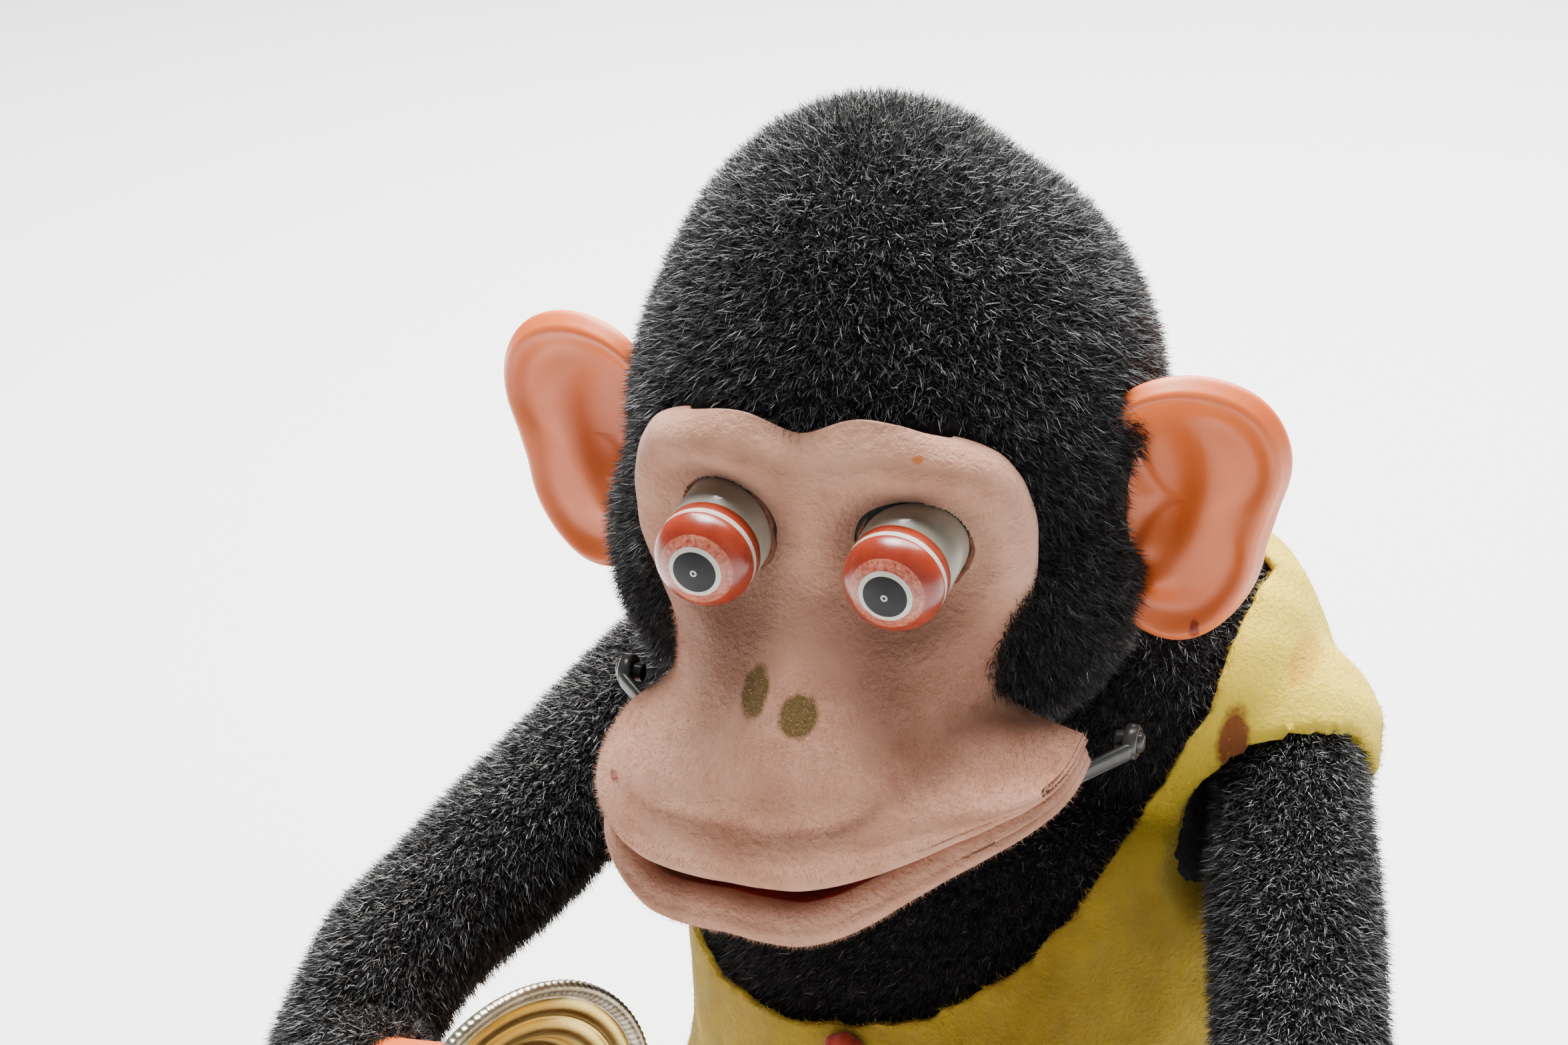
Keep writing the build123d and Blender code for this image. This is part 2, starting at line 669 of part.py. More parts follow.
def write_all():
    os.makedirs("parts", exist_ok=True)
    for name, build in body_pieces.items():
        write(name, build())
    for name, build in drive_pieces.items():
        write(name, mirrored(build()))
    for name, build in left_hand_pieces.items():
        piece = build()
        write("left_" + name, piece)
        write("right_" + name, mirrored(piece))
    for name, build in head_pieces.items():
        write(name, head_place * build())
    for side, change in (("left", lambda shape: shape), ("right", mirrored)):
        write(side + "_ear", head_place * change(ear()))
        write(side + "_eye", head_place * change(eye()))


write_all()
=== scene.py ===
import functools
import json
import math

import bpy
import numpy as np
from mathutils import Matrix, Vector


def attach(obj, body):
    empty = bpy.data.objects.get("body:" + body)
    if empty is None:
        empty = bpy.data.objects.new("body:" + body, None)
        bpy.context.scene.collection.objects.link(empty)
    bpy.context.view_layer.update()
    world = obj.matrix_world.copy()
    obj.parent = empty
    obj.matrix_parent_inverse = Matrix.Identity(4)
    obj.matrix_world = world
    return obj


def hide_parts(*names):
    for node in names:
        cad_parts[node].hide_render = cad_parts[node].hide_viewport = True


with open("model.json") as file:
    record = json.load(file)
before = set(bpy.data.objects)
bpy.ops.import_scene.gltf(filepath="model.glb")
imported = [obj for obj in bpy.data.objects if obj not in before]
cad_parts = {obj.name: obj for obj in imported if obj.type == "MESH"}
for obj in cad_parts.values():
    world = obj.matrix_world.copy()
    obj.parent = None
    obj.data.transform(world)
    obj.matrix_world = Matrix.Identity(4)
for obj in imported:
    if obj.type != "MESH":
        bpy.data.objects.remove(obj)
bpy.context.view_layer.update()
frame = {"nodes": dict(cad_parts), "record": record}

MM = 0.001

# ---- driving places, in millimetres; those of CAD parts are the CAD's ----
NECK_Y, NOD_Z = -12.0, 158.5
HEAD_YAW, HEAD_PITCH = 8.0, 8.0
NOD_IN_HEAD = (0.0, 20.5, -42.5)
PIVOT = (67.0, 4.0, 0.0)
WRIST, CUFF = (97.0, -80.0, 64.0), (85.0, -85.5, 66.5)
SWING = 22.5
CYMBAL, CYMBAL_TURN = (39.5, -101.5, 75.0), 23.0
JAW_Y, JAW_Z = -21.0, -42.0
EYE_X, EYE_Z, EYE_R, EYE_FRONT = 17.2, 2.5, 9.1, -55.1
EYE_DOME = 5.8                  # height of the painted dome, flatter than the CAD's ball
SOCKET_Y, SOCKET_SPLAY = -36.0, 18
HUNCH, HUNCH_R = [(-40.0, 8.0, 138.0), (40.0, 8.0, 138.0)], 32.0
BELLY = [(34.5, 5, 58, 49), (75, 4, 62, 51), (112, 4, 62, 46), (140, 8, 46, 28)]
SEAT = [(4, 6, 50, 42), (14, 5, 57, 49), (33.8, 5, 58.5, 50)]
LEG = [(30, -22, 17.2), (43, -70, 16.0), (51, -95, 15.5)]
LEG_R = (16.8, 15.0, 13.5)
BUTTON = (3.5, -51.6, 76)
PILE = 4.3                      # length of the plush's longest strands

# ---- how the stuffing has settled: the figure leans, its own left shoulder high and its right one low ----
LEAN = 8.0
ROOT = {1: (73.5, 4.0, 134.0), -1: (64.0, 4.0, 120.0)}
ELBOW = {1: (99.0, -61.0, 92.0), -1: (93.5, -60.0, 80.0)}
ARM_R = {1: (12.5, 14.0, 14.6, 12.8, 10.8), -1: (15.4, 15.0, 14.6, 12.8, 10.8)}


def shift(x, y, z):
    return Matrix.Translation((x, y, z))


def turn_z(degrees):
    return Matrix.Rotation(math.radians(degrees), 4, "Z")


def turn_x(degrees):
    return Matrix.Rotation(math.radians(degrees), 4, "X")


HEAD = (shift(0, NECK_Y, NOD_Z) @ turn_z(HEAD_YAW) @ turn_x(HEAD_PITCH)
        @ shift(*(-value for value in NOD_IN_HEAD)))
INTO_HEAD = np.array(HEAD.inverted())
HERE = Matrix.Identity(4)
MIRROR = Matrix.Scale(-1, 4, (1, 0, 0))


# ---- meshes ----
def placed(points, place):
    m = np.array(place)
    return np.asarray(points, float) @ m[:3, :3].T + m[:3, 3]


def linked(name, data):
    obj = bpy.data.objects.new(name, data)
    bpy.context.scene.collection.objects.link(obj)
    return obj


def add_object(name, mesh, materials, body, stands_for=()):
    for material in materials:
        mesh.materials.append(material)
    obj = linked(name, mesh)
    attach(obj, body)
    if stands_for:
        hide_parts(*stands_for)
    return obj


def mesh_of(name, points, faces, place=HERE, flip=False, shades=None):
    mesh = bpy.data.meshes.new(name)
    if flip:
        faces = [tuple(reversed(face)) for face in faces]
    mesh.from_pydata((placed(points, place) * MM).tolist(), [], faces)
    mesh.shade_smooth()
    if shades is not None:
        mesh.polygons.foreach_set("material_index", np.asarray(shades, np.int32))
    mesh.update()
    return mesh


def grid_faces(rows, columns, around=False):
    faces = []
    for i in range(rows - 1):
        for j in range(columns if around else columns - 1):
            k = (j + 1) % columns
            faces.append((i * columns + j, i * columns + k, (i + 1) * columns + k, (i + 1) * columns + j))
    return faces


def capped_tube_faces(rows, columns):
    faces = grid_faces(rows, columns, around=True)
    faces.append(tuple(reversed(range(columns))))
    faces.append(tuple(range((rows - 1) * columns, rows * columns)))
    return faces


def lathe(name, profile, place, segments, ripple=None):
    """Turns (radius, height) or (radius, height, material) points about Z.

    ripple(angle, radius, height) gives a change of radius.
    """
    points, shades = [], []
    angles = np.linspace(0, math.tau, segments, endpoint=False)
    for radius, height, *_ in profile:
        for angle in angles:
            wide = radius + (ripple(angle, radius, height) if ripple else 0.0)
            points.append((wide * math.cos(angle), wide * math.sin(angle), height))
    for row in profile[1:]:
        shades += [row[2] if len(row) > 2 else 0] * segments
    faces = grid_faces(len(profile), segments, around=True)
    return mesh_of(name, points, faces, place, shades=shades)


def balls_on(points, radii, spacing=0.22):
    """Centres and radii of balls along a limb."""
    out = []
    for a, b, ra, rb in zip(points, points[1:], radii, radii[1:]):
        a, b = np.array(a, float), np.array(b, float)
        count = max(2, int(np.linalg.norm(b - a) / (spacing * min(ra, rb))))
        for t in np.linspace(0, 1, count + 1):
            out.append((a + (b - a) * t, (ra + (rb - ra) * t,) * 3))
    return out


def vectors_of(mesh, attribute):
    values = np.empty(len(mesh.vertices) * 3)
    mesh.vertices.foreach_get(attribute, values)
    return values.reshape(-1, 3)


@functools.cache
def unit_ball():
    bpy.ops.mesh.primitive_ico_sphere_add(subdivisions=4, radius=1)
    temporary = bpy.context.object
    points = vectors_of(temporary.data, "co")
    faces = np.array([tuple(polygon.vertices) for polygon in temporary.data.polygons])
    bpy.data.objects.remove(temporary)
    return points, faces


def blob(name, balls, voxel, smooth, place=HERE, extra=()):
    """One smooth skin round overlapping balls and extra closed meshes (points, faces)."""
    ball_points, ball_faces = unit_ball()
    points, faces, base = [], [], 0
    for centre, radii in balls:
        points.append(ball_points * np.array(radii) + np.array(centre, float))
        faces += (ball_faces + base).tolist()
        base += len(ball_points)
    for more_points, more_faces in extra:
        points.append(np.array(more_points, float))
        faces += [[index + base for index in face] for face in more_faces]
        base += len(more_points)
    obj = linked(name + "_rough", mesh_of(name + "_rough", np.vstack(points), faces, place))
    remesh = obj.modifiers.new("skin", "REMESH")
    remesh.mode = "VOXEL"
    remesh.voxel_size = voxel * MM
    remesh.use_smooth_shade = True
    relax = obj.modifiers.new("relax", "SMOOTH")
    relax.factor = 0.5
    relax.iterations = smooth
    return bake(obj, name)


def bake(obj, name):
    """The object's mesh with its modifiers applied. The object goes."""
    graph = bpy.context.evaluated_depsgraph_get()
    mesh = bpy.data.meshes.new_from_object(obj.evaluated_get(graph))
    mesh.name = name
    bpy.data.objects.remove(obj)
    mesh.shade_smooth()
    return mesh


def points_of(mesh):
    return vectors_of(mesh, "co") / MM


def normals_of(mesh):
    return vectors_of(mesh, "normal")


def triangles_of(mesh):
    mesh.calc_loop_triangles()
    tri = np.empty(len(mesh.loop_triangles) * 3, np.int32)
    mesh.loop_triangles.foreach_get("vertices", tri)
    return tri.reshape(-1, 3)


def set_points(mesh, points):
    mesh.vertices.foreach_set("co", (np.asarray(points) * MM).ravel())
    mesh.update()


def waves(points, scale, seed):
    """Smooth cheap noise from -1 to 1 at each point, from a few random plane waves."""
    rng = np.random.default_rng(seed)
    total = np.zeros(len(points))
    for _ in range(9):
        direction = rng.normal(size=3)
        direction /= np.linalg.norm(direction)
        length = scale * rng.uniform(0.6, 1.7)
        total += np.sin(points @ direction * math.tau / length + rng.uniform(0, math.tau))
    return total / 3.5


def smoothed(values, width, ends="edge"):
    """Evenly spaced values with their corners rounded over an odd number of places."""
    kernel = np.hanning(width)
    return np.convolve(np.pad(values, width // 2, mode=ends), kernel / kernel.sum(), mode="valid")


def bell(value, middle, width):
    return np.exp(-((value - middle) / width) ** 2)


def clipped(points, faces, value):
    """The part of a triangle mesh where value is positive, cut cleanly along value = 0."""
    points, value = list(map(tuple, points)), list(value)
    cut, kept = {}, []

    def crossing(i, j):
        key = (min(i, j), max(i, j))
        if key not in cut:
            t = value[i] / (value[i] - value[j])
            a, b = points[i], points[j]
            cut[key] = len(points)
            points.append(tuple(a[k] + (b[k] - a[k]) * t for k in range(3)))
        return cut[key]

    for face in faces:
        inside = [value[i] > 0 for i in face]
        if all(inside):
            kept.append(tuple(face))
        elif any(inside):
            ring = []
            for k in range(3):
                i, j = face[k], face[(k + 1) % 3]
                if inside[k]:
                    ring.append(i)
                if inside[k] != inside[(k + 1) % 3]:
                    ring.append(crossing(i, j))
            kept.append(tuple(ring))
    used = sorted({i for face in kept for i in face})
    number = {old: new for new, old in enumerate(used)}
    return [points[i] for i in used], [tuple(number[i] for i in face) for face in kept]


# ---- fur ----
def scatter(mesh, count, seed, keep=None, cover=None):
    """Random points on a mesh with their normals, evenly by area where keep or the vertices' cover allows."""
    rng = np.random.default_rng(seed)
    points, normals, tri = points_of(mesh), normals_of(mesh), triangles_of(mesh)
    a, b, c = (points[tri[:, k]] for k in range(3))
    area = np.linalg.norm(np.cross(b - a, c - a), axis=1)
    if keep is not None:
        area = area * keep((a + b + c) / 3)
    if cover is not None:
        area = area * cover[tri].mean(axis=1)
    pick = rng.choice(len(tri), size=count, p=area / area.sum())
    u, v = rng.random(count), rng.random(count)
    over = u + v > 1
    u[over], v[over] = 1 - u[over], 1 - v[over]
    w = 1 - u - v
    root = a[pick] * w[:, None] + b[pick] * u[:, None] + c[pick] * v[:, None]
    normal = (normals[tri[pick, 0]] * w[:, None] + normals[tri[pick, 1]] * u[:, None]
              + normals[tri[pick, 2]] * v[:, None])
    normal = unit(normal)
    if keep is not None:
        good = keep(root) > 0.5
        root, normal = root[good], normal[good]
    return root, normal, rng


def unit(vectors):
    return vectors / np.maximum(np.linalg.norm(vectors, axis=1), 1e-9)[:, None]


def strands(name, root, normal, rng, length, width, lean, comb=np.zeros(3), dark=1, tips=1):
    """Bent ribbons, one per root: a quad in one of the first dark materials and a tip in one of the rest.

    lean spreads them at random, comb bends them all one way, and those that point up get lighter tips, as
    painted light from above.
    """
    count = len(root)
    jitter = rng.normal(size=(count, 3))
    size = length * rng.uniform(0.55, 1.15, count)[:, None]
    aim = unit(normal + lean * unit(jitter) * rng.uniform(0.2, 1, count)[:, None] + comb)
    bend = unit(aim + 0.45 * unit(rng.normal(size=(count, 3))) + 0.6 * comb)
    side = unit(np.cross(aim, rng.normal(size=(count, 3)))) * width / 2
    middle = root + aim * size * 0.5
    tip = middle + bend * size * 0.55
    points = np.stack([root - side, root + side, middle + side * 0.85, middle - side * 0.85, tip], axis=1)
    mesh = bpy.data.meshes.new(name)
    mesh.vertices.add(count * 5)
    mesh.vertices.foreach_set("co", (points.reshape(-1, 3) * MM).ravel())
    loops = np.array([0, 1, 2, 3, 3, 2, 4])          # the quad's corners, then the tip's
    index = (np.arange(count)[:, None] * 5 + loops).ravel()
    mesh.loops.add(len(index))
    mesh.loops.foreach_set("vertex_index", index.astype(np.int32))
    mesh.polygons.add(count * 2)
    start = (np.arange(count)[:, None] * 7 + np.array([0, 4])).ravel()
    mesh.polygons.foreach_set("loop_start", start.astype(np.int32))
    shade = np.empty((count, 2), np.int32)
    shade[:, 0] = rng.integers(0, dark, count)
    # painted light: strands that point up are given lighter tips, as if lit from above
    painted_top_light = 0.62 + 2.2 * np.clip(normal[:, 2], 0, 1) ** 3
    shade[:, 1] = dark + np.minimum((rng.exponential(1.0, count) * painted_top_light).astype(np.int32), tips - 1)
    mesh.polygons.foreach_set("material_index", shade.ravel())
    mesh.update(calc_edges=True)
    return mesh


# ---- materials ----
def set_inputs(node, **values):
    for socket, value in values.items():
        node.inputs[socket.replace("_", " ")].default_value = value


def add_node(material, kind, **values):
    node = material.node_tree.nodes.new("ShaderNode" + kind)
    set_inputs(node, **values)
    return node


def join(material, output, socket):
    material.node_tree.links.new(output, socket)


def shader_of(material):
    return material.node_tree.nodes["Principled BSDF"]


def plain(name, colour, rough, metal=0.0, **sockets):
    material = bpy.data.materials.new(name)
    material.use_nodes = True
    set_inputs(shader_of(material), Base_Color=(*colour, 1), Roughness=rough, Metallic=metal, **sockets)
    return material


def mapped(material, **values):
    """The object's own coordinates, in metres, moved or stretched."""
    where, mapping = add_node(material, "TexCoord"), add_node(material, "Mapping", **values)
    join(material, where.outputs["Object"], mapping.inputs["Vector"])
    return mapping.outputs["Vector"]


def noise(material, scale, stretch=(1, 1, 1)):
    texture = add_node(material, "TexNoise", Scale=scale, Detail=5.0, Roughness=0.6)
    join(material, mapped(material, Scale=stretch), texture.inputs["Vector"])
    return texture.outputs["Fac"]


def calculated(material, operation, first, second):
    node = add_node(material, "Math")
    node.operation = operation
    join(material, first, node.inputs[0])
    node.inputs[1].default_value = second
    return node


def ramp(material, factor, stops, gain=1.0):
    """Colour ramp; a gain under 1 brings a factor that can pass 1 into the ramp's range first."""
    if gain != 1.0:
        factor = calculated(material, "MULTIPLY", factor, gain).outputs["Value"]
    node = add_node(material, "ValToRGB")
    elements = node.color_ramp.elements
    while len(elements) < len(stops):
        elements.new(0.5)
    for element, (position, colour) in zip(elements, stops):
        element.position = position
        element.color = (*colour, 1)
    join(material, factor, node.inputs["Fac"])
    return node.outputs["Color"]


def blended(material, factor, first, paint):
    """The colour of the first socket, with paint over it where factor is 1."""
    node = add_node(material, "Mix")
    node.data_type = "RGBA"
    join(material, factor, node.inputs["Factor"])
    join(material, first, node.inputs[6])
    node.inputs[7].default_value = (*paint, 1)
    return node.outputs[2]


def grey(value):
    return (value, value, value)


def patterned(name, dark, light, scale, rough, grain, height, metal=0.0, stains=(), stretch=(1, 1, 1),
              **sockets):
    """Cloudy colour from dark to light, bumps of a finer grain, and stains as (colour, scale, from, to)."""
    material = plain(name, light, rough, metal, **sockets)
    shader = shader_of(material)
    colour = ramp(material, noise(material, scale, stretch), [(0.3, dark), (0.7, light)])
    for stain, stain_scale, low, high in stains:
        mask = ramp(material, noise(material, stain_scale), [(low, grey(0)), (high, grey(1))])
        colour = blended(material, mask, colour, stain)
    join(material, colour, shader.inputs["Base Color"])
    glossy, matt = grey(rough * 0.85), grey(min(1, rough * 1.15))
    roughness = ramp(material, noise(material, scale * 2.3), [(0.3, glossy), (0.7, matt)])
    join(material, roughness, shader.inputs["Roughness"])
    bump = add_node(material, "Bump", Distance=height * MM, Strength=1.0)
    join(material, noise(material, grain, stretch), bump.inputs["Height"])
    join(material, bump.outputs["Normal"], shader.inputs["Normal"])
    return material


def spot(material, place, centre, radii, wobble, soft, grain=350):
    """Soft-edged patch round a point given in millimetres in the frame of place, as a factor from 0 to 1."""
    middle = place @ Vector(centre)
    round_it = mapped(material, Scale=[1 / (radius * MM) for radius in radii],
                      Location=[-value / radius for value, radius in zip(middle, radii)])
    length = add_node(material, "VectorMath")
    length.operation = "LENGTH"
    join(material, round_it, length.inputs[0])
    shake = calculated(material, "MULTIPLY_ADD", noise(material, grain), wobble)
    join(material, length.outputs["Value"], shake.inputs[2])
    edge = 1 + wobble * 0.5
    stops = [((edge - soft) / 4, grey(1)), ((edge + soft) / 4, grey(0))]
    return ramp(material, shake.outputs["Value"], stops, 0.25)


def overlay(material, *patches):
    """Paints (factor, colour) patches over a material's own colour."""
    socket = shader_of(material).inputs["Base Color"]
    colour = socket.links[0].from_socket
    for factor, paint in patches:
        colour = blended(material, factor, colour, paint)
    join(material, colour, socket)


FUR_SKIN = patterned("fur_skin", (0.006, 0.006, 0.006), (0.02, 0.02, 0.021), 260, 0.9, 900, 0.5)
FUR_DARK = [plain("fur_root_a", (0.008, 0.008, 0.009), 0.5), plain("fur_root_b", (0.018, 0.018, 0.019), 0.45),
            plain("fur_root_c", (0.032, 0.031, 0.031), 0.42)]
# the lighter tip shades are partly the plush's own grey tips and partly painted highlight of its gloss
FUR_TIPS = [plain("fur_tip_a", (0.03, 0.03, 0.031), 0.42), plain("fur_tip_b", (0.07, 0.068, 0.067), 0.38),
            plain("fur_tip_c", (0.18, 0.177, 0.172), 0.36), plain("fur_tip_d", (0.38, 0.37, 0.355), 0.34)]
FLOCK = patterned("pink_flock", (0.36, 0.155, 0.09), (0.58, 0.30, 0.20), 60, 0.92, 800, 0.7,
                  stains=[((0.27, 0.115, 0.055), 60, 0.60, 0.78), ((0.60, 0.34, 0.24), 25, 0.55, 0.8)],
                  Sheen_Weight=0.12, Sheen_Roughness=0.4)
FUZZ = [plain("flock_fibre_a", (0.70, 0.45, 0.34), 0.8), plain("flock_fibre_b", (0.54, 0.30, 0.20), 0.8)]
FELT = patterned("yellow_felt", (0.29, 0.185, 0.005), (0.44, 0.30, 0.010), 90, 0.95, 1000, 0.6,
                 stains=[((0.52, 0.38, 0.03), 45, 0.58, 0.75)], Sheen_Weight=0.04, Sheen_Roughness=0.5)
FELT_FIBRE = [plain("felt_fibre_a", (0.56, 0.40, 0.03), 0.9), plain("felt_fibre_b", (0.36, 0.24, 0.012), 0.9)]
RED_FELT = patterned("red_felt", (0.33, 0.02, 0.008), (0.52, 0.045, 0.015), 200, 0.95, 1300, 0.35,
                     Sheen_Weight=0.2)
VINYL = patterned("orange_vinyl", (0.62, 0.115, 0.02), (0.70, 0.155, 0.032), 40, 0.42, 700, 0.02,
                  Subsurface_Weight=0.12, Subsurface_Scale=0.004)
BRASS = patterned("cymbal_brass", (0.52, 0.35, 0.09), (0.72, 0.52, 0.18), 35, 0.22, 500, 0.02, 1.0,
                  stains=[((0.24, 0.15, 0.05), 60, 0.64, 0.78)], stretch=(1, 1, 6))
RIM = patterned("cymbal_rim", (0.36, 0.30, 0.18), (0.66, 0.62, 0.52), 260, 0.34, 1200, 0.05, 1.0)
GREY_PLASTIC = patterned("grey_plastic", (0.022, 0.023, 0.022), (0.06, 0.06, 0.055), 150, 0.32, 700, 0.03)
BARREL = patterned("eye_barrel", (0.22, 0.195, 0.15), (0.33, 0.30, 0.24), 120, 0.34, 600, 0.02,
                   stains=[((0.12, 0.075, 0.04), 130, 0.62, 0.78)], Coat_Weight=0.3)
PAINT_COAT = {"Coat_Weight": 0.25, "Coat_Roughness": 0.2}
RUST = patterned("eye_rust", (0.20, 0.018, 0.006), (0.30, 0.032, 0.010), 220, 0.3, 900, 0.01, **PAINT_COAT)
DOME = patterned("eye_dome", (0.24, 0.022, 0.008), (0.56, 0.19, 0.12), 1400, 0.3, 900, 0.01, **PAINT_COAT)
WHITE = patterned("eye_white", (0.50, 0.45, 0.38), (0.60, 0.58, 0.53), 260, 0.3, 900, 0.01,
                  Coat_Weight=0.2, Coat_Roughness=0.2)
PUPIL = patterned("eye_pupil", (0.005, 0.005, 0.006), (0.010, 0.010, 0.011), 260, 0.42, 900, 0.01,
                  Specular_IOR_Level=0.25)
SOCKET = patterned("socket_felt", (0.07, 0.025, 0.014), (0.28, 0.10, 0.05), 260, 0.95, 1500, 0.3)
MOUTH = patterned("mouth_red", (0.34, 0.022, 0.012), (0.52, 0.050, 0.028), 90, 0.6, 900, 0.2)
TROUSER = patterned("trouser_cloth", (0.17, 0.035, 0.03), (0.27, 0.065, 0.05), 120, 0.9, 1400, 0.4,
                    stretch=(1, 1, 3), Sheen_Weight=0.2)
SHOE = patterned("shoe_vinyl", (0.05, 0.022, 0.012), (0.09, 0.045, 0.026), 70, 0.4, 500, 0.08)
TIN = patterned("tin", (0.34, 0.33, 0.31), (0.50, 0.49, 0.46), 60, 0.42, 400, 0.02, 1.0,
                stains=[((0.20, 0.12, 0.06), 45, 0.66, 0.78)])
STEEL = patterned("steel", (0.36, 0.36, 0.37), (0.52, 0.52, 0.52), 130, 0.32, 700, 0.02, 1.0)

NOSTRIL = (0.115, 0.068, 0.012)
# painted shade on the cheeks under both eyes, where the eyes and brow would shadow them
PAINTED_SHADE_UNDER_EYES = (0.30, 0.135, 0.085)
overlay(FLOCK,
        (spot(FLOCK, HEAD, (-17, -43, -11), (15, 16, 9), 0.5, 0.7, 60), PAINTED_SHADE_UNDER_EYES),
        (spot(FLOCK, HEAD, (16, -43, -11), (15, 16, 9), 0.5, 0.7, 60), PAINTED_SHADE_UNDER_EYES),
        (spot(FLOCK, HEAD, (-7.0, -55.5, -19.8), (2.7, 9, 4.4), 0.6, 0.14), NOSTRIL),
        (spot(FLOCK, HEAD, (1.8, -57, -22.0), (3.5, 9, 3.5), 0.6, 0.14), NOSTRIL),
        (spot(FLOCK, HEAD, (-36, -52, -44), (1.5, 9, 0.9), 0.8, 0.25, 900), (0.22, 0.03, 0.01)),
        (spot(FLOCK, HEAD, (20, -39, 22), (0.9, 9, 0.7), 0.8, 0.25, 900), (0.42, 0.12, 0.02)))
WORN_LIP, EAR_NICK = (0.34, 0.155, 0.085), (0.26, 0.03, 0.008)
# the lighter patch over the top of the shoulder is painted light from above; the brown and pale patches are
# stains
PAINTED_SHOULDER_LIGHT, BROWN_STAIN, PALE_STAIN = (0.76, 0.56, 0.035), (0.20, 0.055, 0.006), (0.66, 0.38, 0.02)
overlay(MOUTH, (spot(MOUTH, HEAD, (-33, -50, -62), (12, 14, 9), 0.5, 0.3, 500), WORN_LIP))
overlay(VINYL, (spot(VINYL, HEAD, (60.5, -5, -26.5), (0.9, 5, 1.9), 1.2, 0.25, 1500), EAR_NICK))
overlay(FELT,
        (spot(FELT, HERE, (78, 0, 160), (34, 60, 34), 0.5, 0.6, 40), PAINTED_SHOULDER_LIGHT),
        (spot(FELT, HERE, (68, -15, 142.5), (2.4, 14, 7.5), 0.7, 0.2, 500), BROWN_STAIN),
        (spot(FELT, HERE, (76, 0, 155.5), (2.4, 8, 5.0), 0.9, 0.2, 400), PALE_STAIN))


def grow_fur(name, body, mesh, count, seeds, width, lean, comb, **where):
    """Lays one piece of plush over a skin for each seed."""
    for i, seed in enumerate(seeds):
        root, normal, rng = scatter(mesh, count, seed, **where)
        fur = strands(f"{name}_{i}", root, normal, rng, PILE, width, lean, comb, len(FUR_DARK), len(FUR_TIPS))
        add_object(f"{name}_{i}", fur, FUR_DARK + FUR_TIPS, body)


# ---- head, in its own frame ----
FACE_Z = [29, 27, 24, 20, 14, 6, -4, -12, -20, -26, -31, -36, -41, -48, -59]
FACE_HALF = [23, 25.5, 28.5, 31.5, 34.5, 36.5, 36.3, 34.5, 31.5, 29.5, 31, 38, 44.5, 46.5, 46]
FACE_FRONT = [-39.5, -41, -42.4, -43.4, -43.6, -43, -43.4, -47, -54.5, -60.5, -63.5, -65, -65.5, -65.5, -63]
FACE_EDGE = [-34, -33, -32, -31, -30, -29, -28.5, -28.5, -28.5, -28.5, -28.5, -29, -30, -31, -31]
FACE_POWER = [0.9, 0.9, 0.85, 0.85, 0.85, 0.9, 1.1, 1.6, 1.8, 1.4, 1.0, 0.75, 0.64, 0.6, 0.62]
EDGE_LEFT = [23, 22.5, 21, 19, 14, 6, -4, -12, -20, -28, -32, -36, -38.5, -39.5, -41]
EDGE_RIGHT = [23, 22.5, 21, 19, 14, 6, -4, -12, -20, -28, -32.5, -37.5, -42, -47, -51]
LIP_X = [-46, -42, -36, -24, -12, 0, 7, 17, 28, 39, 46]
LIP_Z = [-47.5, -53, -55.6, -54.6, -53.4, -52.6, -51, -47, -41.5, -37, -35.5]
LIP_R, CHIN_LIP_R = 3.2, 2.4
FLOCK_THICK, FELT_THICK = 1.0, 1.3
FACE_ROWS, FACE_COLUMNS = 170, 201
MUZZLE_MIDDLE = np.array([0.0, -22.0])


def eased(z, knots):
    """Interpolates along the face's height, then rounds the corners of the line."""
    fine = np.linspace(FACE_Z[-1] - 8, FACE_Z[0] + 8, 400)
    return np.interp(z, fine, smoothed(np.interp(fine, FACE_Z[::-1], knots[::-1]), 31))


def lip_line(x):
    """The upper lip's height across the mouth."""
    fine = np.linspace(-60, 60, 241)
    return np.interp(x, fine, smoothed(np.interp(fine, LIP_X, LIP_Z), 25))


